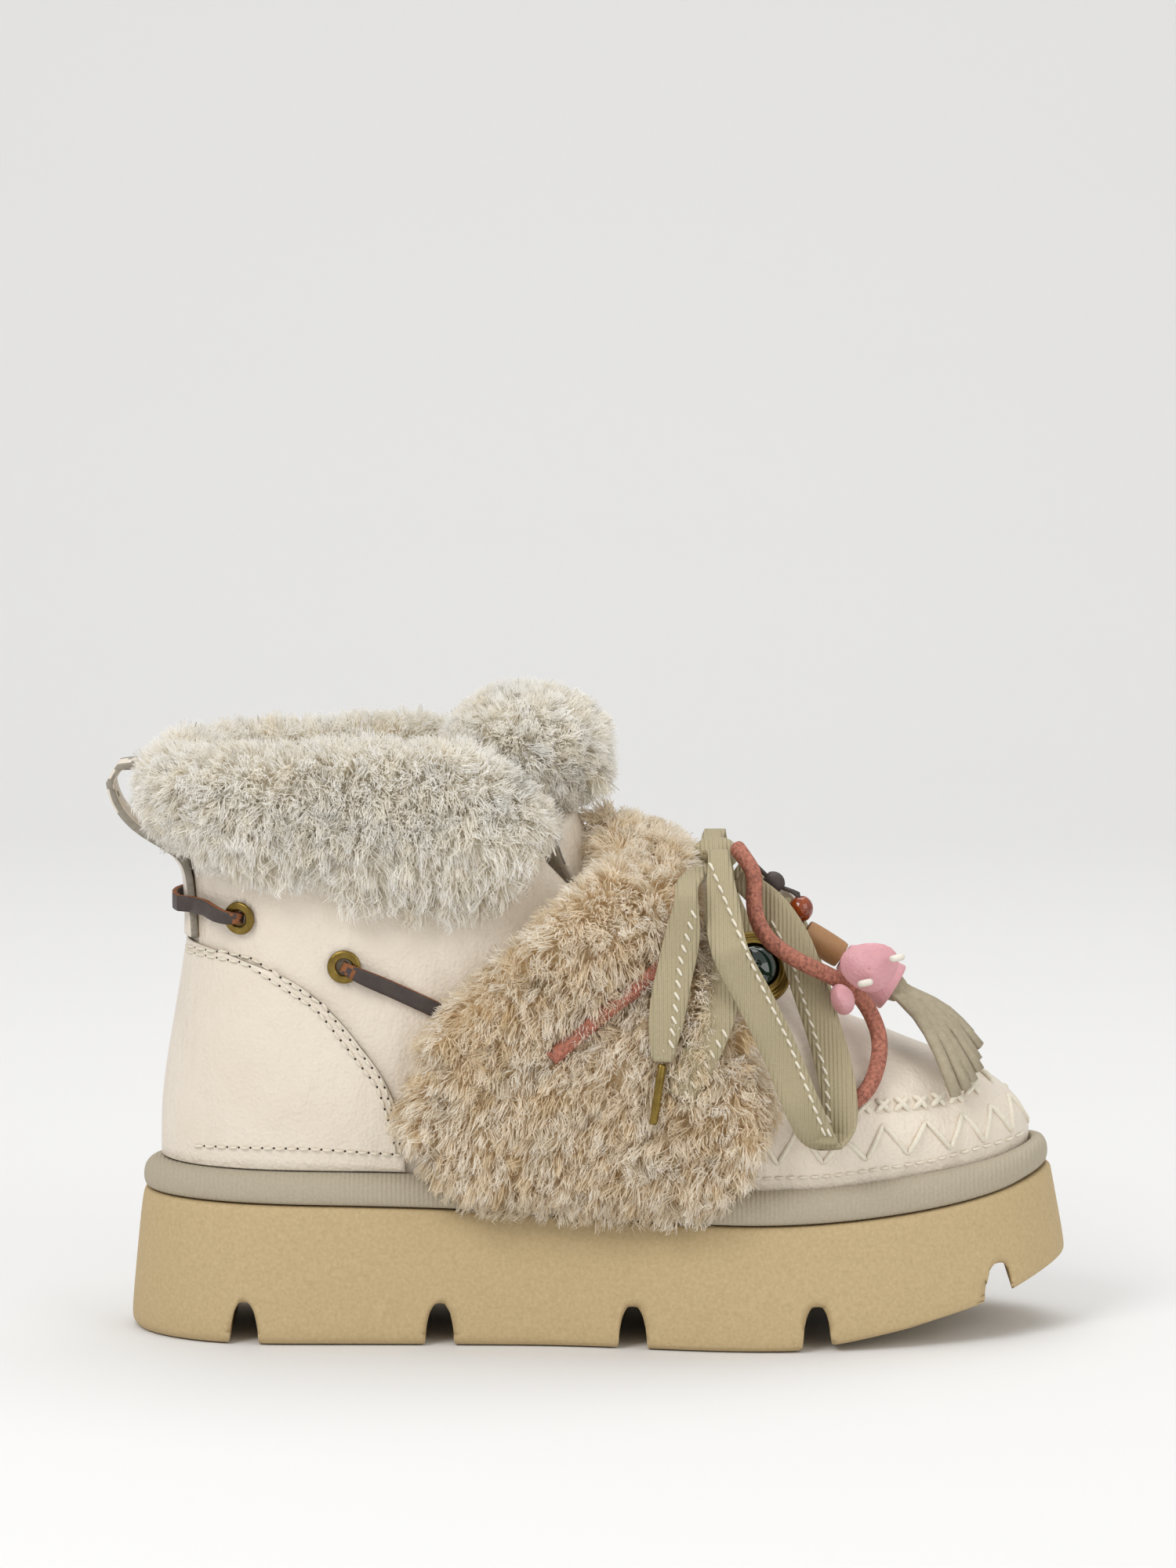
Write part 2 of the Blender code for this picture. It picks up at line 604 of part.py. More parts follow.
def build_tongue_fur(look):
    f = TONGUE_FUR
    centre = np.array([x_at(f["x"]), 0, f["z"] * COLLAR_HEIGHT])
    seat = f["seat"] * COLLAR_HEIGHT + GAP
    rows = []
    for i in range(9):
        lat = math.pi * (i / 8 - 0.5)
        line = []
        for j in range(16):
            lon = 2 * math.pi * j / 16
            out = np.array([math.cos(lat) * math.cos(lon), math.cos(lat) * math.sin(lon), math.sin(lat)])
            size = 1 + lumps(i, j * 0.8, 0.035)
            place = centre + out * size * [f["deep"], f["wide"], f["tall"]]
            place[0] -= 0.0095 * (place[1] / f["wide"]) ** 2
            place[2] = max(place[2], seat)
            line.append(place)
        rows.append(line)
    rows = np.array(rows)
    points = [rows[0].mean(axis=0)] + list(rows[1:-1].reshape(-1, 3)) + [rows[-1].mean(axis=0)]
    faces = strip_faces(7, 16, True, 1)
    last = len(points) - 1
    for j in range(16):
        n = (j + 1) % 16
        faces.append((0, 1 + n, 1 + j))
        faces.append((last, last - 16 + j, last - 16 + n))
    blob = add_mesh("tongue_fur", points, faces, look)
    roots = []
    for j in (0, 1, 2, 13, 14, 15, 4, 12):
        place = rows[4 + j % 3 - 1][j]
        out = unit(place - centre)
        roots.append((place - out * 0.001, out + [0.3, 0, -0.3 + 0.2 * (j % 3)], 0.0065, 0.0042))
    boolean(blob, locks("tongue_fur_locks", roots), "UNION")
    return rows


def build_cuff(grid, normals, outer_tree, inner_tree, look):
    # The path runs from the inner front end by the heel to the outer front end.
    top = [c for c in range(COLUMNS) if ALONG[c] < 0.87]
    path = smooth(grid[-1][top], 400)
    path = path[path[:, 0] <= x_at(CUFF_END)]
    stations = smooth(path[::4], 34)
    near = np.linalg.norm(stations[:, None] - grid[-1][top][None], axis=2)
    normals = unit((normals[-2][top][None] / near[..., None] ** 2).sum(axis=1))
    for _ in range(2):
        normals[1:-1] = unit(normals[:-2] + normals[1:-1] * 2 + normals[2:])
    along = unit(np.gradient(stations, axis=0))
    for _ in range(2):
        along[1:-1] = unit(along[:-2] + along[1:-1] * 2 + along[2:])
    back = int(np.argmin(stations[:, 0]))
    count = len(stations)
    share = np.array([(back - i) / back if i <= back else (i - back) / (count - 1 - back)
                      for i in range(count)])
    wide = curve(CUFF, share, 1) * CUFF_WIDTH
    thick = curve(CUFF, share, 2) * CUFF_THICK
    depth = curve(CUFF, share, 3) * CUFF_WIDTH
    downs = unit(np.cross(along, normals))
    ripple = np.arange(count)
    wide = wide * (1 + 0.09 * np.sin(2.3 * ripple) + 0.05 * np.sin(5.1 * ripple + 1))
    thick = thick * (1 + 0.07 * np.sin(1.7 * ripple + 2))
    # The lining of the turned-down side walks down the outside of the upper.
    steps, walks, outs = 12, [], []
    for i, place in enumerate(stations):
        walk, faces, heading = [place], [normals[i]], downs[i]
        for _ in range(steps):
            near, face, _, _ = outer_tree.find_nearest(Vector(walk[-1] + heading * wide[i] / steps))
            heading = unit(np.array(near) - walk[-1])
            walk.append(np.array(near))
            faces.append(np.array(face))
        walks.append(walk)
        outs.append(faces)
    contact, push, rest = [], [], []
    for i, place in enumerate(stations):
        normal, down, w, t = normals[i], downs[i], wide[i], thick[i]
        heading = unit(walks[i][-1] - walks[i][-4])
        line = [walks[i][k] for k in (12, 8, 5, 3, 1)]
        faces = [outs[i][k] for k in (12, 8, 5, 3, 1)]
        away = unit((place - stations[count // 2]) * [0, 1, 0] + normal * [1, 1, 0] * 0.02) * np.array([1, 1, 0])
        contact.append(line)
        push.append([unit(face + away * 0.8) for face in faces])
        lip = place - down * 0.0006
        d = max(depth[i], 0.0012)
        inside, _ = surface_hit(inner_tree, place + down * d - normal * 0.012, normal)
        if inside is None or np.linalg.norm(inside - place - down * d) > 0.008:
            inside = place + down * d - normal * WALL
        part = depth[i] / CUFF_WIDTH / 0.5
        deep = 0.0006 + 0.0055 * part
        points = [
            lip + normal * 0.0005,
            lip - normal * (WALL + 0.0006),
            inside - normal * 0.0007,
            inside - normal * (0.0008 + deep * 0.7) + down * 0.0015 * part,
            place + down * d * 0.45 - normal * (0.0012 + deep + WALL),
            place - down * t * 0.42 - normal * (WALL + deep * 0.8),
            place - down * t * (0.84 + lumps(i, 1, 0.05)) - normal * 0.0005,
            place - down * t * 0.50 + normal * t * (0.74 + lumps(i, 3, 0.05)),
        ]
        for k, h, o in ((4, 0.03, 1.0), (2, 0.45, 1.0), (1, 0.80, 0.80), (0, 1.0, 0.42)):
            out = line[k] + faces[k] * t * o * (1 + lumps(i, h * 5, 0.06))
            points.append(out + heading * (w * 0.09 if h == 1.0 else 0))
        rest.append(points)
    # The edge of the throat turns away at the last station of each end, so those are left out.
    contact, push, rest, count = contact[1:-1], push[1:-1], rest[1:-1], count - 2
    contact = settle(np.array(contact), np.array(push), outer_tree, 0.0006)
    sections = [list(contact[i]) + rest[i] for i in range(count)]
    cuff = loft("collar_fur", sections[::-1], look)
    sections = np.array(sections)
    roots = []
    for i in range(2, count - 1, 3):
        core = (sections[i][-2] + sections[i][0] + sections[i][-3]) / 3
        down = unit(sections[i][0] - sections[i][2])
        out = unit(sections[i][-3] - sections[i][1])
        if abs(i - back) > 3:
            roots.append((core, down + out * (0.55 + 0.2 * math.sin(i * 2.1)), 0.0068, 0.0085))
    boolean(cuff, locks("collar_fur_locks", roots), "UNION")
    return sections


def settle_round(base, axis, tree, clearance):
    """Moves a grid away from an axis along X until each of its facets clears what lies inside it."""
    rows, columns = base.shape[:2]
    centre = np.array([0, 0, axis])
    grid = base.copy()
    for _ in range(8):
        need = np.zeros((rows, columns))
        for r in range(rows - 1):
            for c in range(columns - 1):
                corners = [(r, c), (r, c + 1), (r + 1, c), (r + 1, c + 1)]
                a, b, d, e = (grid[k] for k in corners)
                for u in (0.0, 0.2, 0.4, 0.6, 0.8, 1.0):
                    for v in (0.0, 0.2, 0.4, 0.6, 0.8, 1.0):
                        p = on_split(a, b, d, e, u, v)
                        out = unit((p - centre) * [0, 1, 1])
                        foot = np.array([p[0], 0, axis])
                        hit, _ = surface_hit(tree, foot + out * 0.15, -out)
                        if hit is None:
                            continue
                        short = np.linalg.norm(hit - foot) + clearance - np.linalg.norm(p - foot)
                        if short > 0:
                            for k in corners:
                                need[k] = max(need[k], 0.9 * short)
        if need.max() < 1e-5:
            break
        grid = grid + unit((grid - centre) * [0, 1, 1]) * need[..., None]
    return grid


def groove_line(a, b, p):
    """How far a point of the outer side lies from a line, in x and z."""
    a, b, p = (np.array(v, float) for v in (a, b, p))
    t = np.clip(np.dot(p - a, b - a) / np.dot(b - a, b - a), 0, 1)
    return float(np.linalg.norm(p - a - (b - a) * t))


def build_pad(tree, rand, look):
    across = [-1, -0.9, -0.7, -0.38, 0, 0.38, 0.7, 0.9, 1]
    crown = [0.25, 0.66, 0.93, 1.02, 1.0, 1.02, 0.93, 0.66, 0.25]
    turns = np.linspace(-125, 125, PAD_STATIONS)
    start = (x_at(CORD_STRETCH[1][0]), CORD_STRETCH[1][1] * COLLAR_HEIGHT)
    end = (x_at(CORD_STRETCH[-1][0]), CORD_STRETCH[-1][1] * COLLAR_HEIGHT)
    axis = PAD_AXIS * COLLAR_HEIGHT
    base, push, high = [], [], []
    for i, turn in enumerate(turns):
        rear, front, thick = (float(curve(PAD, abs(turn), k)) for k in (1, 2, 3))
        outs = []
        ends = 0.45 if i in (0, PAD_STATIONS - 1) else 1.0
        line = []
        for j, u in enumerate(across):
            share = rear + (front - rear) * (u + 1) / 2
            wave = 0.0018 * math.sin(2.1 * i + j) if j in (0, 8) and abs(turn) > 40 else 0
            x = float(x_at(share)) + wave
            # The pad's ends reach down to the rand, which is nearer the middle at the waist.
            sides = SIDE * turn >= 0
            order = np.argsort(rand[2][sides][:, 0])
            half = abs(float(np.interp(x, rand[2][sides][order, 0], rand[2][sides][order, 1])))
            low = math.degrees(math.atan2(half, float(sole_top(x)) + 0.0068 - axis))
            part = np.clip((abs(turn) - 60) / 65, 0, 1)
            angle = math.radians(turn * (1 + (low / 125 - 1) * part * part * (3 - 2 * part)))
            out = np.array([0, math.sin(angle), math.cos(angle)])
            outs.append(out)
            hit, _ = surface_hit(tree, np.array([x, 0, axis]) + out * 0.15, -out)
            if hit is None:
                hit = np.array([x, 0, axis]) + out * 0.045
            line.append(hit)
        base.append(line)
        push.append(outs)
        tilt = 0.42 * max(math.cos(math.radians(turn)), 0) ** 2
        high.append([thick * ends * crown[j] * (1 + tilt * across[j]) * (1 + lumps(i * 1.1, j * 1.7, 0.04))
                     for j in range(len(across))])
    base, push, high = np.array(base), np.array(push), np.array(high)
    # The pad bridges hollows under it, so its foot is evened out along its length.
    reach = np.linalg.norm((base - [0, 0, axis]) * [0, 1, 1], axis=2)
    calm = reach.copy()
    for _ in range(2):
        calm[1:-1] = np.maximum(calm[1:-1], (calm[:-2] + calm[2:]) / 2)
    base = base + push * (calm - reach)[..., None]
    low = settle_round(base, axis, tree, 0.0010)
    outer = low + push * (high * PAD_THICK)[..., None]
    for i in range(len(turns)):
        for j in range(len(across)):
            p = outer[i, j]
            if p[1] < -0.02:
                near = groove_line(start, end, (p[0], p[2]))
                outer[i, j] = p - push[i, j] * high[i, j] * PAD_THICK * 0.42 * math.exp(-((near / 0.006) ** 2))
    pad = sheet("instep_fur", low, outer, look)
    roots = []
    for i in range(2, PAD_STATIONS - 1, 3):
        for j, lean in ((1, -1), (7, 1)):
            out = push[i, j]
            drop = np.array([lean * 0.9, 0, -0.5 if abs(turns[i]) > 40 else 0.2])
            roots.append((outer[i, j] - out * 0.001, drop + out * 0.7, 0.0075, 0.0055))
    boolean(pad, locks("instep_fur_locks", roots), "UNION")
    return outer


def build_counter(tree, grid, look):
    places = [(0.2972, 1), (0.2816, 1), (0.2543, 1), (0.2184, 1), (0.1773, 1)]
    places += [(1.0 + a, 1) for a in (76, 61, 46, 31, 15)] + [(1.0, 1)]
    places += [(p, -1) for p, _ in places[-2::-1]]
    low, push = [], []
    for place, side in places:
        sides = (SIDE == side) & (ALONG < 0.5)
        order = np.argsort(grid[1][sides][:, 0])
        xs, zs = grid[1][sides][order, 0], grid[1][sides][order, 2]
        if place < 1.0:
            top = curve(COUNTER_SIDE, place)
            x = x_at(place)
        else:
            top = curve(COUNTER_BACK, place - 1.0)
            x = -0.03 * math.cos(math.radians(place - 1.0))
        foot = float(np.interp(x, xs, zs)) + 0.0006
        line, outs = [], []
        for v in np.linspace(0, 1, 5):
            hit, normal = heel_hit(tree, place, foot + v * (float(top) * COLLAR_HEIGHT - foot), side)
            line.append(hit)
            outs.append(normal)
        low.append(line)
        push.append(outs)
    low, push = np.array(low), unit(np.array(push))
    low = settle(low, push, tree, GAP)
    sheet("heel_counter", low, low + push * COUNTER_THICK, look)
    return low + push * COUNTER_THICK


def build_strap(tree, look):
    """Backstay that leaves the heel at its top and turns into the pull loop."""
    low, high = [], []
    top = COUNTER_BACK[0][1] * COLLAR_HEIGHT + 0.0007
    for up, half in STRAP_ROWS:
        z = top + up
        line, outs = [], []
        for u in np.linspace(-1, 1, 5):
            turn = math.degrees(u * half / 0.032)
            hit, normal = heel_hit(tree, 1.0 + abs(turn), z, 1 if turn >= 0 else -1)
            line.append(hit)
            outs.append(normal)
        low.append(line)
        high.append(outs)
    low, push = np.array(low), unit(np.array(high))
    low = settle(low, push, tree, GAP)
    high = low + push * STRAP_THICK
    start = low[-1][2]
    path = [start + np.array([-across, 0, up]) for across, up in STRAP_LOOP]
    along = unit(np.gradient(np.array(path), axis=0))
    more_low, more_high = [], []
    for k in range(1, len(path)):
        out = np.array([-along[k][2], 0, along[k][0]])
        half = 0.0105 - 0.0003 * k
        bow = 0.004 * max(0, 1 - k / 3)
        line = [path[k] + [bow * u * u, u * half, 0] for u in np.linspace(-1, 1, 5)]
        more_low.append(line)
        more_high.append([p + out * STRAP_THICK for p in line])
    low = np.concatenate([low, np.array(more_low)])
    high = np.concatenate([high, np.array(more_high)])
    sheet("pull_strap", low, high, look)
    return high


def build_eyelets(tree, upper, look):
    """Four rings with barrels through the wall, and the holes they sit in."""
    places, points, faces = {}, [], []
    for name, (share, height) in EYELETS.items():
        for side, word in ((-1, "outer"), (1, "inner")):
            hit, normal = surface_hit(tree, (x_at(share), side * 0.2, height * COLLAR_HEIGHT), (0, -side, 0))
            places[name, word] = (hit, normal)
            r, h = EYELET_RADIUS, EYELET_HOLE
            profile = [(h, -WALL - 0.0005), (h + 0.0007, -WALL - 0.0005), (h + 0.0007, 0.0010),
                       (r, 0.0010), (r * 0.95, 0.0018), (h, 0.0020)]
            lathe(f"eyelet_{name}_{word}", profile, hit, normal, look, 12)
            start = len(points)
            axis = Vector(normal)
            one = axis.orthogonal().normalized()
            two = axis.cross(one)
            for depth in (-0.012, 0.006):
                for k in range(12):
                    turn = 2 * math.pi * k / 12
                    out = (one * math.cos(turn) + two * math.sin(turn)) * (h + 0.0013)
                    points.append(Vector(hit) + axis * depth + out)
            faces += strip_faces(2, 12, True, start)
            faces.append(tuple(range(start, start + 12))[::-1])
            faces.append(tuple(range(start + 12, start + 24)))
    boolean(upper, add_mesh("eyelet_holes", points, faces, None), "DIFFERENCE")
    return places


def hole_start(place, normal, direction):
    """The first points of a thong that comes out of an eyelet, with their facing and width."""
    d = unit(direction - normal * np.dot(direction, normal))
    rise = [(0, -0.0004), (0.0, 0.0016), (0.0028, 0.0037), (0.0070, 0.0034)]
    points = [place + d * a + normal * b for a, b in rise]
    facing = [-d, unit(normal * 0.5 - d), unit(normal - d * 0.35), normal]
    return points, facing, [THONG_WIDTH * 0.66, THONG_WIDTH * 0.66, THONG_WIDTH * 0.8, THONG_WIDTH]


def build_thongs(tree, places, look):
    lift = 0.0006 + THONG_THICK / 2
    ends = {}
    for word, side in (("outer", -1), ("inner", 1)):
        hit, normal = places["rear", word]
        away = np.array([-1.0, 0, 0.12])
        ends[word] = hole_start(hit, normal, away)
        # The front thong runs forward and down until the fur pad covers it.
        hit, normal = places["front", word]
        goal = np.array([x_at(THONG_FRONT_END[0]), hit[1], THONG_FRONT_END[1] * COLLAR_HEIGHT])
        points, facing, width = hole_start(hit, normal, goal - hit)
        for t in (0.45, 0.62, 0.8, 1.0):
            spot = hit + (goal - hit) * t
            near, face = surface_hit(tree, (spot[0], side * 0.2, spot[2]), (0, -side, 0))
            points.append(near + face * lift)
            facing.append(face)
            width.append(THONG_WIDTH)
        ribbon(f"thong_front_{word}", points, facing, width, THONG_THICK, look)
    points, facing, width = ends["outer"]
    points, facing, width = list(points), list(facing), list(width)
    grid_centre = np.zeros(3)
    z = places["rear", "outer"][0][2] + 0.0022
    for turn in np.linspace(42, -42, 17):
        near, _ = heel_hit(tree, 1.0 + abs(turn), z, -1 if turn > 0 else 1)
        level = unit((near - grid_centre) * [1, 1, 0])
        points.append(near + level * (lift + 0.0013))
        facing.append(level)
        width.append(THONG_WIDTH)
    more, outs, wide = ends["inner"]
    points += more[::-1]
    facing += outs[::-1]
    width += wide[::-1]
    ribbon("thong_rear", points, facing, width, THONG_THICK, look)


def drape(tree, rows, count, side=-1, half=0.0, least_out=0.006):
    """A smooth path in the air beside the boot. Each point keeps its row's distance from what lies
    behind it, and so do the edges of a band of this half width."""
    marks = np.array([(x_at(r[0]), 0.0, r[1] * COLLAR_HEIGHT) for r in rows])
    path = smooth(marks, count)
    run = np.concatenate([[0], np.cumsum(np.linalg.norm(np.diff(marks, axis=0), axis=1))])
    off = np.interp(np.linspace(0, run[-1], count), run, [r[2] for r in rows])
    along = unit(np.gradient(path, axis=0))
    edge = np.stack([along[:, 2], 0 * along[:, 1], -along[:, 0]], axis=1) * half
    out = np.zeros(count)
    for i, place in enumerate(path):
        hit, _ = surface_hit(tree, (place[0], side * 0.2, place[2]), (0, -side, 0))
        y = max(side * hit[1], least_out) if hit is not None else least_out
        y += off[i]
        for _ in range(16):
            short = 0.0
            for shift, least in ((0 * edge[i], off[i]), (edge[i], min(off[i], 0.0022)), (-edge[i], min(off[i], 0.0022))):
                spot = Vector(place + shift + [0, side * y, 0])
                near, normal, _, _ = tree.find_nearest(spot)
                short = max(short, least - (spot - near).dot(normal))
            if short < 1e-5 or y > 0.075:
                break
            y += min(short * 1.1, 0.003)
        out[i] = y
    for _ in range(2):
        out[1:-1] = np.maximum(out[1:-1], (out[:-2] + out[2:]) / 2)
    path[:, 1] = side * out
    return path


def dock(tree, place, towards, spread):
    """Slides the end of a strip or cord towards a solid until it lies just off it."""
    for _ in range(200):
        spots = [Vector(place + shift) for shift in spread]
        if min((spot - tree.find_nearest(spot)[0]).length for spot in spots) < 0.0006:
            break
        place = place + towards * 0.0002
    return place


def from_knot(knot, tree, start, path, side, spread, count, off, rise):
    """The way from the side of the knot out to the first point of a hanging piece."""
    seat = dock(knot, start, np.array([0, -side, 0.0]), spread)
    first = path[0]
    bend = np.array([first[0] * 0.9 + seat[0] * 0.1, first[1] * 0.80 + seat[1] * 0.20, seat[2] + rise])
    way = smooth([seat, seat + [0, side * 0.004, 0.0006], bend, first, path[1], path[2]], count + 6)
    way = way[:int(np.argmin(np.linalg.norm(way - first, axis=1)))]
    for i in range(2, len(way)):
        for _ in range(8):
            near, normal, _, _ = tree.find_nearest(Vector(way[i]))
            short = off - (Vector(way[i]) - near).dot(normal)
            if short <= 0:
                break
            way[i] = way[i] + np.array(normal) * short
    return np.vstack([way, path])


def band_facing(path, side):
    """A band that leaves the knot faces up, then outward once it hangs."""
    along = unit(np.gradient(path, axis=0))
    return unit(np.cross(along, [1.0, 0, 0]) * -side)


def build_bow(tree, lace, cord, metal):
    k = KNOT
    centre = np.array([x_at(k["x"]), k["y"], k["z"] * COLLAR_HEIGHT])
    rows = []
    for i in range(9):
        lat = math.pi * (i / 8 - 0.5)
        rows.append([centre + np.array([math.cos(lat) * math.cos(t) * k["long"],
                                        math.sin(lat) * k["wide"],
                                        math.cos(lat) * math.sin(t) * k["tall"]])
                     * (1 + lumps(i, j, 0.03)) for j, t in enumerate(np.linspace(0, 2 * math.pi, 12, endpoint=False))])
    rows = np.array(rows)
    points = [rows[0].mean(axis=0)] + list(rows[1:-1].reshape(-1, 3)) + [rows[-1].mean(axis=0)]
    faces = strip_faces(7, 12, True, 1)
    last = len(points) - 1
    for j in range(12):
        n = (j + 1) % 12
        faces += [(0, 1 + n, 1 + j), (last, last - 12 + j, last - 12 + n)]
    add_mesh("lace_knot", points, faces, lace)
    knot = BVHTree.FromPolygons([Vector(p) for p in points], faces)
    for name, table, count, side in (("lace_end_one", END_ONE, 11, -1), ("lace_end_two", END_TWO, 11, -1),
                                     ("lace_end_inner", END_ONE, 9, 1)):
        path = drape(tree, table, count, side, LACE_WIDTH / 2)
        width = np.interp(np.linspace(0, 1, count), np.linspace(0, 1, len(table)), [r[3] for r in table])
        if table is END_ONE:
            flat = [np.array([x, 0, z]) for x in (-0.003, 0, 0.003) for z in (-0.0007, 0.0007)]
            start = centre + [-0.0030, side * 0.02, -0.0022]
            whole = from_knot(knot, tree, start, path, side, flat, 10, 0.0030, -0.0010)
            width = np.concatenate([np.full(len(whole) - count, width[0]), width])
            path = whole
        ribbon(name, path, band_facing(path, side), width * LACE_WIDTH, LACE_THICK, lace)
        if name == "lace_end_one":
            tip = path[-1] - path[-2]
            along = unit(tip)
            lean = unit(along + [-0.12, 0.0, 0.0])
            foot = path[-1] + along * 0.0006
            tube("aglet", [foot, foot + lean * 0.006, foot + lean * 0.012, foot + lean * 0.0178], 0.0013, metal)
    for name, side, count in (("lace_loop_outer", -1, 30), ("lace_loop_inner", 1, 26)):
        path = drape(tree, LOOP_ONE, count, side, LACE_WIDTH / 2, 0.0080)
        width = np.interp(np.linspace(0, 1, count), np.linspace(0, 1, len(LOOP_ONE)), [r[3] for r in LOOP_ONE])
        along = unit(np.gradient(path, axis=0))
        bottom = int(np.argmin(path[:, 2]))
        facing = []
        for i in range(count):
            # The band faces out on its way down, turns over at the foot and faces in on its way up.
            turn = np.clip((i - bottom) / 2.0, -1, 1)
            facing.append(np.array([0.25 * (1 - turn * turn), side * -turn, -0.9 * (1 - turn * turn)]))
        flat = [np.array([x, 0, z]) for x in (-0.003, 0, 0.003) for z in (-0.0007, 0.0007)]
        start = centre + [-0.0010, side * 0.02, 0.0018]
        whole = from_knot(knot, tree, start, path, side, flat, 8, 0.0060, 0.0020)
        more = len(whole) - count
        facing = list(band_facing(whole, side)[:more + 2]) + facing[2:]
        width = np.concatenate([np.full(more, width[0]), width])
        ribbon(name, whole, facing, width * LACE_WIDTH, LACE_THICK, lace)
    path = drape(tree, CORD_LOOP, 25, least_out=0.0115)
    disc = [np.array([math.cos(a) * CORD_RADIUS, 0, math.sin(a) * CORD_RADIUS]) for a in range(0, 6)]
    seat = dock(knot, centre + [0.0060, -0.025, 0.0030], np.array([0, 1.0, 0]), disc)
    path[0] = seat
    path[1] = (path[1] + path[0] + path[2]) / 3
    tube("cord_loop", path, CORD_RADIUS, cord)
    tube("cord_stretch", drape(tree, CORD_STRETCH, 12), CORD_RADIUS, cord)


def at_charm(share, height, y=CHARM_LINE):
    return np.array([x_at(share), y, height * COLLAR_HEIGHT])


def build_brooch(tree, brass, stone):
    """Ridged setting with a domed stone. It stands clear of the boot behind it."""
    share, height, radius = BROOCH
    axis = unit(np.array(BROOCH_FACES))
    one = unit(np.cross(axis, [0, 0, 1.0]))
    two = np.cross(axis, one)
    hit, _ = surface_hit(tree, (x_at(share), -0.2, height * COLLAR_HEIGHT), (0, 1, 0))
    spots = [np.zeros(3)] + [(one * math.cos(t) + two * math.sin(t)) * radius * r
                             for t in np.linspace(0, 2 * math.pi, 12, endpoint=False) for r in (0.5, 1)]
    rise = 0.0
    for _ in range(12):
        short = 0.0
        for spot in spots:
            p = Vector(hit + spot + axis * rise)
            near, normal, _, _ = tree.find_nearest(p)
            short = max(short, 0.0006 - (p - near).dot(normal))
        if short < 1e-5:
            break
        rise += short
    centre = hit + axis * rise
    profile = [(0.0034, 0), (radius, 0), (radius, 0.0012), (radius * 0.90, 0.0024), (radius * 0.82, 0.0018),
               (radius * 0.74, 0.0030), (radius * 0.62, 0.0030), (radius * 0.58, 0.0016), (0.0034, 0.0016)]
    lathe("brooch_setting", profile, centre, axis, brass, 14)
    inner = radius * 0.58 - 0.0003
    profile = [(0.0001, 0.0019), (inner, 0.0019), (inner, 0.0030), (inner * 0.75, 0.0044),
               (inner * 0.4, 0.0050), (0.0001, 0.0052)]
    lathe("brooch_stone", profile, centre, axis, stone, 14)
    rings = [(0.0001, 0.0054), (radius * 0.7, 0.0054), (radius * 1.02, 0.0026), (radius * 1.02, -0.001)]
    shell = [[centre + (one * math.cos(t) + two * math.sin(t)) * r + axis * h
              for t in np.linspace(0, 2 * math.pi, 16, endpoint=False)] for r, h in rings]
    return np.array(shell)[::-1]


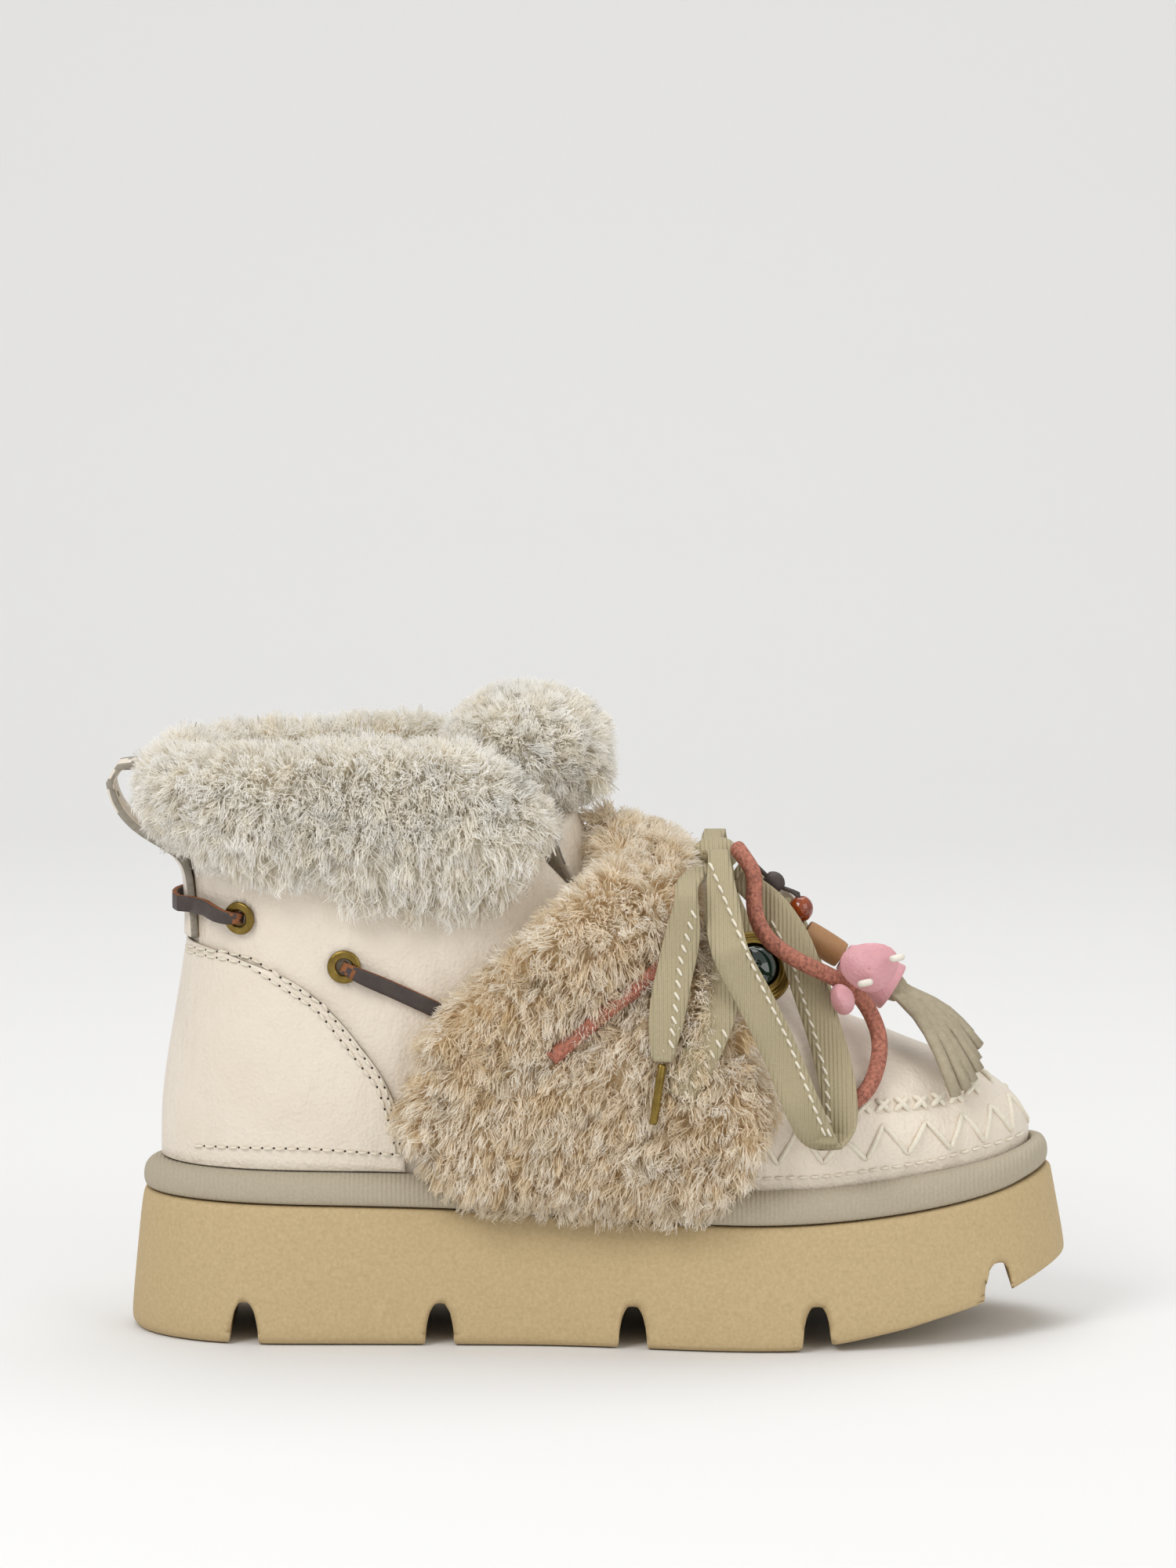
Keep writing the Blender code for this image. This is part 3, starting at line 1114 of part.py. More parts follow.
def build_charms(tree, looks):
    share, height, long, radius = WOOD
    wood = at_charm(share, height)
    cap_top, cap_end = at_charm(*CAP[:2]), at_charm(*CAP[2:])
    down = unit(cap_top - wood)
    # The cord bends only between its beads, so that each turns freely on a straight length.
    beads = [(at_charm(*DARK_BEAD[:2]), DARK_BEAD[2]), (at_charm(*AMBER[:2]), AMBER[2]), (wood, long / 2)]
    leans = [unit(beads[1][0] - at_charm(*CHARM_CORD[0])), unit(wood - down * long * 0.55 - beads[1][0]), down]
    line = [at_charm(*row) for row in CHARM_CORD]
    for (place, half), lean in zip(beads, leans):
        line += [place - lean * (half + 0.0012), place + lean * (half + 0.0005)]
    line.append(cap_top - down * 0.0006)
    tube("charm_cord", line, CHARM_CORD_RADIUS, looks["thong"], 1)
    hole = CHARM_CORD_RADIUS + 0.0005
    profile = [(hole, -long / 2), (radius * 0.9, -long / 2), (radius, -long / 2 + 0.0008),
               (radius, long / 2 - 0.0008), (radius * 0.9, long / 2), (hole, long / 2)]
    lathe("wood_bead", profile, wood, down, looks["wood"], 14)
    for k, (name, look) in enumerate((("dark_bead", "thong"), ("amber_bead", "amber"))):
        place, radius = beads[k]
        reach = math.acos(min(hole / radius, 0.9))
        profile = [(math.cos(a) * radius, math.sin(a) * radius) for a in np.linspace(-reach, reach, 5)]
        lathe(name, profile, place, leans[k], looks[look], 10)
    # A folded ribbon of shell white, as a small twisted ring beside the amber bead
    share, height, radius = SHELL
    place = at_charm(share, height, CHARM_LINE + 0.0069)
    sections = []
    for k in range(14):
        turn = 2 * math.pi * k / 14
        out = np.array([math.cos(turn), -0.35 * math.sin(2 * turn), math.sin(turn)])
        out = unit(out)
        up = np.array([0, 1.0, 0])
        core = place + out * radius * 0.62
        twist = turn * 1.5
        a = out * math.cos(twist) + up * math.sin(twist)
        b = up * math.cos(twist) - out * math.sin(twist)
        sections.append([core + a * 0.0022 * p + b * 0.0013 * q for p, q in ((1, 0.4), (0.4, 1), (-0.4, 1), (-1, 0.4),
                                                                         (-1, -0.4), (-0.4, -1), (0.4, -1), (1, -0.4))])
    loft("shell_knot", sections[:13], looks["shell"])
    # Tassel: a leather cap over a core from which the strips fan out
    axis = unit(cap_end - cap_top)
    tall = float(np.linalg.norm(cap_end - cap_top))
    r, w = CAP_RADIUS, CAP_WALL
    profile = [(0.0010, 0), (r * 0.55, 0), (r * 0.86, tall * 0.22), (r, tall), (r - w, tall),
               (r * 0.86 - w, tall * 0.3), (r * 0.5, w), (0.0010, w)]
    lathe("tassel_cap", profile, cap_top, axis, looks["pink"], 14)
    core = r * 0.86 - w - 0.0006
    profile = [(0.0006, w + 0.0010), (r * 0.42, w + 0.0010), (core, tall * 0.36), (core, tall + 0.001),
               (core * 0.5, tall + 0.004), (0.0006, tall + 0.0045)]
    tassel = lathe("tassel", profile, cap_top, axis, looks["suede"], 12)
    near = at_charm(TASSEL_NEAR[0], TASSEL_NEAR[1], TASSEL_NEAR[2])
    far = at_charm(TASSEL_FAR[0], TASSEL_FAR[1], TASSEL_FAR[2])
    one = unit(np.cross(axis, [0, 0, 1.0]))
    one = one if one[1] < 0 else -one
    two = np.cross(axis, one)
    two = two if two[2] > 0 else -two
    strips = []
    for k in range(TASSEL_STRIPS):
        t = k / (TASSEL_STRIPS - 1)
        lean = (1 - t) * 2 - 1
        start = cap_end - axis * 0.0025 + one * core * 0.62 * lean + two * core * 0.35 * (1 - abs(lean))
        end = near * (1 - t) + far * t + np.array([0.0030, 0, 0.0010]) * math.sin(3.1 * k) + [0.004, 0, -0.002] * np.array(4 * t * (1 - t))
        middle = (start + end) / 2 + axis * 0.002 + np.array([0.0015, -0.001, 0.0035])
        path = smooth([start, start + axis * 0.005, middle, end], 4)
        for i in range(2, len(path)):
            for _ in range(10):
                p = Vector(path[i])
                hit, normal, _, _ = tree.find_nearest(p)
                short = 0.0030 - (p - hit).dot(normal)
                if short <= 0:
                    break
                path[i] = path[i] + np.array(normal) * short
        facing = np.array([0.35, -0.35 - 0.3 * (1 - t), 0.75])
        strips.append(ribbon(f"tassel_strip_{k}", path, [facing] * len(path), TASSEL_WIDTH, 0.0014, None))
    for strip in strips:
        boolean(tassel, strip, "UNION")


def main():
    clear_scene()
    looks = {
        "leather": material("cream leather", (0.69, 0.61, 0.51), 0.42),
        "sole": material("tan foam rubber", (0.53, 0.40, 0.22), 0.75),
        "rand": material("woven sage edge", (0.45, 0.40, 0.30), 0.85),
        "fur": material("cream shearling", (0.86, 0.80, 0.68), 0.95),
        "pad": material("tan shearling", (0.76, 0.63, 0.42), 0.95),
        "thong": material("dark brown leather", (0.060, 0.042, 0.033), 0.55),
        "brass": material("old brass", (0.33, 0.23, 0.07), 0.35, 0.9),
        "lace": material("khaki lace", (0.34, 0.28, 0.17), 0.85),
        "cord": material("terracotta cord", (0.44, 0.16, 0.10), 0.8),
        "amber": material("amber", (0.37, 0.08, 0.008), 0.15),
        "wood": material("beech wood", (0.38, 0.21, 0.09), 0.55),
        "pink": material("pink leather", (0.68, 0.36, 0.38), 0.5),
        "suede": material("taupe suede", (0.45, 0.38, 0.27), 0.9),
        "shell": material("white shell", (0.82, 0.79, 0.72), 0.35),
        "stone": material("green stone", (0.01, 0.06, 0.035), 0.12),
        "lining": material("pale insole", (0.74, 0.68, 0.56), 0.9),
    }
    grid = upper_grid()
    normals = grid_normals(grid)
    build_outsole(looks["sole"])
    upper, inner = build_upper(grid, normals, looks["leather"])
    rand = build_rand(grid, looks["rand"])
    out = plan_normals(grid[0])
    foot = grid[0] - out * (WALL + 0.0004)
    stack("insole", [foot, foot + [0, 0, INSOLE_THICK]], looks["lining"])
    outer_tree = tree_of((grid, True))
    inner_tree = tree_of((inner, True))
    tongue = build_tongue(looks["leather"])
    build_tongue_fur(looks["fur"])
    build_counter(outer_tree, grid, looks["leather"])
    strap = build_strap(outer_tree, looks["leather"])
    build_cuff(grid, normals, outer_tree, inner_tree, looks["fur"])
    pad = build_pad(tree_of((grid, True), (rand, True), (tongue, False)), rand, looks["pad"])
    places = build_eyelets(outer_tree, upper, looks["brass"])
    build_thongs(tree_of((grid, True), (strap, False)), places, looks["thong"])
    brooch = build_brooch(tree_of((grid, True), (pad, False)), looks["brass"], looks["stone"])
    dressed = tree_of((grid, True), (rand, True), (pad, False), (brooch, True))
    build_bow(dressed, looks["lace"], looks["cord"], looks["brass"])
    build_charms(dressed, looks)


main()
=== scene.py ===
"""Looks of the fur boot: skins, hair, stitches, materials, light and camera round its solids."""

import math

import bmesh
import bpy
import numpy as np
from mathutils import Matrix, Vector, kdtree
from mathutils.bvhtree import BVHTree


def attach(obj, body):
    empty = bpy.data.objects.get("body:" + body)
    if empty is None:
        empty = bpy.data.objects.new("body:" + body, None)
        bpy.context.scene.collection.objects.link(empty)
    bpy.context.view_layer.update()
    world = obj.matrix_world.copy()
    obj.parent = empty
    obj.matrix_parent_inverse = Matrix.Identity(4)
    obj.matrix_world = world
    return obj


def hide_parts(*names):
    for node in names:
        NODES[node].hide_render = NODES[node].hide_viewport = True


# Places read off the photograph are in its pixels. PIXEL is one of them in metres, and the two
# pairs give a column and the x that it shows, and a row and the z that it shows.
PIXEL = 0.0002334
COLUMN = (160, -0.050)
ROW = (1718, -0.0053)
# A line of sight falls by DOWN for each metre that it goes back, so this is its direction
DOWN = 0.1134
SIGHT = (0.9936, 0.1127)
EYE = 0.2

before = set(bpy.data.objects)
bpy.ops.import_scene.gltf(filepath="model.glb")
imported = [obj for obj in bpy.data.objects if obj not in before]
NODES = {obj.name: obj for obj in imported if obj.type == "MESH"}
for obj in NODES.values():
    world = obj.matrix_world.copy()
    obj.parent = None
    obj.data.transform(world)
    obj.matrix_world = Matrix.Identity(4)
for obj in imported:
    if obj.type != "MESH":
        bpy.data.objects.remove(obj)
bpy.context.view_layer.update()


# Materials
ONE = (1, 1, 1)
BUMPS = {
    "cells": ("ShaderNodeTexVoronoi", "Distance", {}),
    "wave": ("ShaderNodeTexWave", "Fac", {"Distortion": 0.6, "Detail": 1.0}),
    "noise": ("ShaderNodeTexNoise", "Fac", {"Detail": 5.0, "Roughness": 0.6}),
}
# The sockets of a colour Mix node
MIX_SHARE, MIX_FIRST, MIX_SECOND = 0, 6, 7


def colour(code):
    """The linear colour of an sRGB code."""
    parts = [int(code[i:i + 2], 16) / 255 for i in (0, 2, 4)]
    return [c / 12.92 if c <= 0.04045 else ((c + 0.055) / 1.055) ** 2.4 for c in parts] + [1.0]


def node(tree, kind, **values):
    made = tree.nodes.new(kind)
    for name, value in values.items():
        if name in made.inputs:
            made.inputs[name].default_value = value
        else:
            setattr(made, name, value)
    return made


def principled(name, rough):
    mat = bpy.data.materials.new(name)
    mat.use_nodes = True
    shader = mat.node_tree.nodes["Principled BSDF"]
    shader.inputs["Roughness"].default_value = rough
    return mat, mat.node_tree, shader


def material(name, base, rough, other=None, mottle=60, contrast=0.5, bumps=(), **more):
    """A material whose colour is mottled towards other. Each bump is (kind, scale, height in
    metres, stretch)."""
    mat, tree, shader = principled(name, rough)
    for key, value in more.items():
        shader.inputs[key.replace("_", " ")].default_value = value
    spot = node(tree, "ShaderNodeTexCoord").outputs["Object"]
    if other:
        noise = node(tree, "ShaderNodeTexNoise", Scale=mottle, Detail=6.0, Roughness=0.6)
        tree.links.new(spot, noise.inputs["Vector"])
        ramp = tree.nodes.new("ShaderNodeValToRGB")
        low, high = ramp.color_ramp.elements
        low.position, low.color = 0.5 - contrast / 2, colour(other)
        high.position, high.color = 0.5 + contrast / 2, colour(base)
        tree.links.new(noise.outputs["Fac"], ramp.inputs["Fac"])
        tree.links.new(ramp.outputs["Color"], shader.inputs["Base Color"])
    else:
        shader.inputs["Base Color"].default_value = colour(base)
    last = None
    for kind, scale, height, stretch in bumps:
        texture, output, values = BUMPS[kind]
        place = node(tree, "ShaderNodeMapping")
        place.inputs["Scale"].default_value = stretch
        tree.links.new(spot, place.inputs["Vector"])
        made = node(tree, texture, Scale=scale, **values)
        tree.links.new(place.outputs["Vector"], made.inputs["Vector"])
        bump = node(tree, "ShaderNodeBump", Strength=1.0, Distance=height)
        tree.links.new(made.outputs[output], bump.inputs["Height"])
        if last:
            tree.links.new(last.outputs["Normal"], bump.inputs["Normal"])
        last = bump
    if last:
        tree.links.new(last.outputs["Normal"], shader.inputs["Normal"])
    return mat


def hair_material(name, root, tip, patch):
    """Hair that lets light through: a root colour darker than the tip colour, which is painted
    shade deep in the fur, and patches from lock to lock.
    """
    mat, tree, shader = principled(name, 0.75)
    shader.inputs["Sheen Weight"].default_value = 0.35
    shader.inputs["Specular IOR Level"].default_value = 0.25
    shade_and_patch = node(tree, "ShaderNodeAttribute", attribute_name="shade_and_patch")
    parts = node(tree, "ShaderNodeSeparateColor")
    tree.links.new(shade_and_patch.outputs["Color"], parts.inputs["Color"])
    # Painted shade: the ramp darkens the hair towards its root and lightens it towards its tip.
    ramp = tree.nodes.new("ShaderNodeValToRGB")
    ramp.color_ramp.elements[0].color = colour(root)
    ramp.color_ramp.elements[1].color = colour(tip)
    ramp.color_ramp.elements[1].position = 0.75
    tree.links.new(parts.outputs["Red"], ramp.inputs["Fac"])
    mix = node(tree, "ShaderNodeMix", data_type="RGBA")
    mix.inputs[MIX_SECOND].default_value = colour(patch)
    tree.links.new(ramp.outputs["Color"], mix.inputs[MIX_FIRST])
    tree.links.new(parts.outputs["Green"], mix.inputs[MIX_SHARE])
    mixed = next(o for o in mix.outputs if o.enabled)
    tree.links.new(mixed, shader.inputs["Base Color"])
    through = tree.nodes.new("ShaderNodeBsdfTranslucent")
    tree.links.new(mixed, through.inputs["Color"])
    both = node(tree, "ShaderNodeMixShader", Fac=0.5)
    tree.links.new(shader.outputs["BSDF"], both.inputs[1])
    tree.links.new(through.outputs["BSDF"], both.inputs[2])
    tree.links.new(both.outputs["Shader"], tree.nodes["Material Output"].inputs["Surface"])
    return mat


MATS = {
    "leather": material(
        "leather", "E6DCCD", 0.38, "DCCFBE", 38, 0.6,
        [("cells", 900, 0.00016, ONE), ("noise", 120, 0.0009, (1, 1, 0.45)),
         ("noise", 34, 0.0022, (1, 1, 0.6))],
        Coat_Weight=0.12, Coat_Roughness=0.35),
    "edge": material("raw edge", "A39C90", 0.9, "7F786C", 700, 0.6),
    "sole": material("foam sole", "C6AF86", 0.75, "B09A70", 900, 0.55,
                     [("noise", 1500, 0.00010, ONE)]),
    "rand": material("woven edge", "B7AE9B", 0.9, "A59A84", 1300, 0.7,
                     [("wave", 230, 0.00014, ONE), ("noise", 1400, 0.0001, ONE)]),
    "wool": material("wool ground", "F6F0E4", 0.95, "E2D8C4", 160, 0.7,
                     [("noise", 420, 0.0016, ONE)]),
    "padwool": material("tan wool ground", "EEDDC0", 0.95, "D9C196", 160, 0.7,
                        [("noise", 420, 0.0016, ONE)]),
    "thong": material("dark leather", "4A3F3A", 0.55, "352B27", 300, 0.6,
                      [("noise", 900, 0.0002, ONE)]),
    "thong_edge": material("cut edge", "9A5E35", 0.8, "6E4022", 600, 0.6),
    "brass": material("old brass", "A08848", 0.34, "5D4A22", 260, 0.7,
                      [("noise", 700, 0.0001, ONE)], Metallic=1.0),
    "lace": material("woven lace", "B3A789", 0.85, "A09474", 1500, 0.8,
                     [("wave", 260, 0.00012, ONE), ("wave", 260, 0.00012, (1, 0.3, -1))]),
    "cord": material("braided cord", "C07A64", 0.8, "7A4A3C", 900, 0.35,
                     [("cells", 620, 0.0006, (1, 1, 0.6))]),
    "amber": material("amber", "B5541D", 0.12, "7A2A08", 180, 0.6,
                      Coat_Weight=0.6, Transmission_Weight=0.25),
    "wood": material("beech", "B58A60", 0.5, "8C6238", 90, 0.7,
                     [("noise", 500, 0.0002, (1, 0.2, 1))]),
    "pink": material("pink leather", "D9A3A8", 0.45, "CB8F95", 200, 0.6,
                     [("cells", 1100, 0.00015, ONE)]),
    "suede": material("suede", "B3A890", 0.95, "9C9078", 500, 0.6,
                      [("noise", 1500, 0.0003, ONE)]),
    "shell": material("shell", "F0ECE2", 0.35, "D8D0C0", 300, 0.6,
                      [("noise", 500, 0.0003, ONE)]),
    "stone": material("green stone", "12382B", 0.08, "0A2019", 240, 0.7, Coat_Weight=0.8),
    "lining": material("insole cloth", "D8CCB4", 0.95, "C4B594", 300, 0.6,
                       [("noise", 900, 0.0004, ONE)]),
    "yarn": material("cream yarn", "EFE9DA", 0.8, "D9CFBA", 900, 0.6,
                     [("noise", 1800, 0.0002, ONE)]),
    # Pinholes: a dark colour that is painted shade of needle holes.
    "hole_shade": material("pinhole", "3A2F26", 0.9, "2A211A", 900, 0.6),
}
# Each root colour is darker than its tip colour as painted shade deep in the fur; the patch
# colours are the hair's own colour from lock to lock.
HAIR = {
    "fur": hair_material("cream hair", "FAF4E6", "FFFEFB", "FBF5E8"),
    "pad": hair_material("tan hair", "F0DFC0", "FFFAF0", "EAD6B0"),
}


# Skins: smoother copies of the solids
WELD = 2e-6
CUT_EDGE = 0.55

# Look, subdivisions, crease, angle in degrees from which an edge is creased, and the nodes
SKINS = [
    ("brass", 2, 0.5, 45, ["eyelet_rear_outer", "eyelet_rear_inner", "eyelet_front_outer",
                           "eyelet_front_inner", "brooch_setting", "aglet"]),
    ("stone", 2, 0.3, 60, ["brooch_stone"]),
    ("lace", 2, 0.85, 45, ["lace_end_one", "lace_end_two", "lace_end_inner", "lace_loop_outer",
                           "lace_loop_inner"]),
    ("lace", 2, 0.2, 80, ["lace_knot"]),
    ("cord", 2, 0.4, 60, ["cord_loop", "cord_stretch"]),
    ("thong", 1, 0.4, 60, ["charm_cord"]),
    ("wood", 2, 0.6, 45, ["wood_bead"]),
    ("amber", 2, 0.4, 60, ["amber_bead"]),
    ("thong", 2, 0.4, 60, ["dark_bead"]),
    ("shell", 2, 0.2, 70, ["shell_knot"]),
    ("pink", 2, 0.6, 45, ["tassel_cap"]),
    ("suede", 1, 0.8, 45, ["tassel"]),
    ("lining", 1, 0.8, 45, ["insole"]),
    ("padwool", 1, 0.2, 80, ["instep_fur"]),
    ("wool", 1, 0.2, 80, ["collar_fur", "tongue_fur"]),
]


def skin(name, look, levels, crease, sharp, edge=None, against=None):
    """A subdivided copy of a node. The faces that stand across against show the edge look."""
    bm = bmesh.new()
    bm.from_mesh(NODES[name].data)
    bmesh.ops.remove_doubles(bm, verts=bm.verts, dist=WELD)
    bmesh.ops.dissolve_degenerate(bm, edges=bm.edges, dist=WELD)
    bmesh.ops.join_triangles(bm, faces=bm.faces, angle_face_threshold=0.7,
                             angle_shape_threshold=0.9)
    layer = bm.edges.layers.float.get("crease_edge") or bm.edges.layers.float.new("crease_edge")
    for e in bm.edges:
        if len(e.link_faces) == 2 and e.calc_face_angle(0) > math.radians(sharp):
            e[layer] = crease
    mesh = bpy.data.meshes.new(name + "_skin")
    bm.to_mesh(mesh)
    bm.free()
    made = bpy.data.objects.new(name + "_skin", mesh)
    bpy.context.scene.collection.objects.link(made)
    mesh.materials.append(MATS[look])
    smooth = made.modifiers.new("smooth", "SUBSURF")
    smooth.levels = smooth.render_levels = levels
    bpy.context.view_layer.update()
    graph = bpy.context.evaluated_depsgraph_get()
    done = bpy.data.meshes.new_from_object(made.evaluated_get(graph))
    made.modifiers.clear()
    made.data = done
    done.polygons.foreach_set("use_smooth", [True] * len(done.polygons))
    if edge:
        done.materials.append(MATS[edge])
        for face in done.polygons:
            near = against.find_nearest(face.center)
            if near[0] and abs(near[1].dot(face.normal)) < CUT_EDGE:
                face.material_index = 1
    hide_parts(name)
    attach(made, "root")
    return made


def tree_of(*objects):
    points, faces = [], []
    for obj in objects:
        start = len(points)
        points += [v.co.copy() for v in obj.data.vertices]
        faces += [tuple(start + k for k in p.vertices) for p in obj.data.polygons]
    return BVHTree.FromPolygons(points, faces)


def add_piece(name, points, faces, look):
    mesh = bpy.data.meshes.new(name)
    mesh.from_pydata([tuple(p) for p in points], [], faces)
    mesh.materials.append(MATS[look])
    mesh.polygons.foreach_set("use_smooth", [True] * len(mesh.polygons))
    obj = bpy.data.objects.new(name, mesh)
    bpy.context.scene.collection.objects.link(obj)
    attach(obj, "root")
    return obj


# Creases in the upper: x, z of both ends in millimetres, depth and half width
CREASES = [
    (-38, 62, -28, 66, 0.9, 2.2), (-36, 74, -22, 71, 0.8, 2.4), (38, 118, 52, 96, 1.0, 3.0),
    (44, 122, 60, 104, 0.8, 2.6), (20, 128, 34, 112, 0.7, 2.4), (36, 84, 42, 60, 0.8, 2.2),
    (-2, 128, 14, 122, 0.6, 2.0), (150, 96, 170, 84, 0.9, 3.2), (142, 84, 158, 72, 0.8, 2.8),
    (180, 78, 196, 66, 0.6, 2.6), (38, 58, 46, 56, 0.8, 1.8), (146, 66, 164, 62, 0.6, 2.2),
]
# The leather is gathered over the edge roll: height and half height of the band, its front end,
# and the depth, folds a radian and phase of each ripple
GATHER_AT, GATHER_WIDE, GATHER_FRONT = 0.0555, 0.0055, 0.2
RIPPLES = ((0.00045, 47, 0), (0.0003, 83, 1))
MIDDLE = np.array([0.085, 0, 0.07])


def crease_upper(obj):
    """Presses the creases in, and gathers the leather over the edge roll into small folds."""
    count = len(obj.data.vertices)
    points = np.empty(count * 3)
    normals = np.empty(count * 3)
    obj.data.vertices.foreach_get("co", points)
    obj.data.vertices.foreach_get("normal", normals)
    points, normals = points.reshape(-1, 3), normals.reshape(-1, 3)
    depth = np.zeros(count)
    flat = points[:, [0, 2]] * 1000
    for x0, z0, x1, z1, deep, wide in CREASES:
        a, b = np.array([x0, z0]), np.array([x1, z1])
        t = np.clip((flat - a) @ (b - a) / ((b - a) @ (b - a)), 0, 1)
        away = np.linalg.norm(flat - a - t[:, None] * (b - a), axis=1) / wide
        depth += 0.001 * deep * (np.exp(-away**2) - 0.45 * np.exp(-((away - 1.9) ** 2)))
    turn = np.arctan2(points[:, 1] * 1.6, points[:, 0] - 0.09)
    band = np.exp(-(((points[:, 2] - GATHER_AT) / GATHER_WIDE) ** 2))
    band = band * (points[:, 0] < GATHER_FRONT)
    depth += band * sum(deep * np.sin(turn * folds + phase) for deep, folds, phase in RIPPLES)
    outside = np.einsum("ij,ij->i", normals, points - MIDDLE) > 0
    points -= normals * (depth * outside)[:, None]
    obj.data.vertices.foreach_set("co", points.ravel())
    obj.data.update()


# Hair: a ribbon of two quads and a triangle each, in locks LOCK wide. Nothing grows nearer
# than BARE to what the fur lies on.
HAIR_WIDTH = 0.00040
LOCK = 0.0034
BARE = 0.0028
SUNK = 0.0008
WILD = 0.5
# Where the pairs of a ribbon's points are on the way from root to tip
# These shares also set the painted shade, which is darkest at the root.
RISE = [0.0, 0.0, 0.42, 0.42, 0.75, 0.75, 1.0]
# Of the hair at the back, where the pull strap stands: x and half width
STRAP_FRONT, STRAP_HALF = -0.030, 0.014
# The top of the collar, and the plane where the pad's two halves meet, each side past it
COLLAR_TOP, PAD_OVERLAP = 0.150, 0.012


def off_strap(place):
    """Clear of the pull strap at the back."""
    return place[0] > STRAP_FRONT or abs(place[1]) > STRAP_HALF


# Piece, node, hairs, length, colour, seed, way they fall, lift, and where they grow
GROWTHS = [
    ("collar_hair_outer", "collar_fur", 34000, 0.0078, "fur", 1, (0, 0, -1), 0.62, off_strap),
    ("collar_hair_top", "collar_fur", 22000, 0.0068, "fur", 2, (0, 0, -0.2), 1.0,
     lambda c: c[2] > COLLAR_TOP and off_strap(c)),
    ("pad_hair_one", "instep_fur", 36000, 0.0078, "pad", 3, (-0.15, 0, -0.8), 0.75,
     lambda c: c[1] < PAD_OVERLAP),
    ("pad_hair_two", "instep_fur", 26000, 0.0078, "pad", 4, (-0.15, 0, -0.8), 0.75,
     lambda c: c[1] > -PAD_OVERLAP),
    ("tongue_hair", "tongue_fur", 18000, 0.0078, "fur", 5, (0.1, 0, -0.3), 0.95, None),
]


def unit(vectors, least=0.0):
    return vectors / np.maximum(np.linalg.norm(vectors, axis=1, keepdims=True), least)


def surface(mesh):
    """The corners, areas and corner normals of a mesh's triangles, smooth across split points."""
    mesh.calc_loop_triangles()
    place = np.empty(len(mesh.vertices) * 3)
    mesh.vertices.foreach_get("co", place)
    place = place.reshape(-1, 3)
    tris = np.empty(len(mesh.loop_triangles) * 3, int)
    mesh.loop_triangles.foreach_get("vertices", tris)
    tris = tris.reshape(-1, 3)
    corner = place[tris]
    cross = np.cross(corner[:, 1] - corner[:, 0], corner[:, 2] - corner[:, 0])
    _, same = np.unique(np.round(place, 5), axis=0, return_inverse=True)
    same = same.reshape(-1)
    soft = np.zeros((same.max() + 1, 3))
    for k in range(3):
        np.add.at(soft, same[tris[:, k]], cross)
    return corner, np.linalg.norm(cross, axis=1) / 2, unit(soft, 1e-12)[same[tris]]


def ribbons(name, points, shades_and_patches, look):
    """One mesh of hairs of seven points each, with a colour attribute that drives their painted
    shade towards the root and their patches.
    """
    count = len(points) // 7
    start = np.arange(count)[:, None] * 7
    quads = np.concatenate([start + [0, 1, 3, 2], start + [2, 3, 5, 4]])
    ends = start + [4, 5, 6]
    made = bpy.data.meshes.new(name)
    made.vertices.add(len(points))
    made.vertices.foreach_set("co", points.ravel())
    loops = np.concatenate([quads.ravel(), ends.ravel()])
    made.loops.add(len(loops))
    made.loops.foreach_set("vertex_index", loops.astype(np.int32))
    made.polygons.add(len(quads) + len(ends))
    starts = np.concatenate([np.arange(len(quads)) * 4,
                             len(quads) * 4 + np.arange(len(ends)) * 3])
    made.polygons.foreach_set("loop_start", starts.astype(np.int32))
    made.update(calc_edges=True)
    shade_and_patch = made.attributes.new("shade_and_patch", "FLOAT_COLOR", "POINT")
    shade_and_patch.data.foreach_set("color", shades_and_patches.astype(np.float32).ravel())
    made.materials.append(HAIR[look])
    obj = bpy.data.objects.new(name, made)
    bpy.context.scene.collection.objects.link(obj)
    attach(obj, "root")


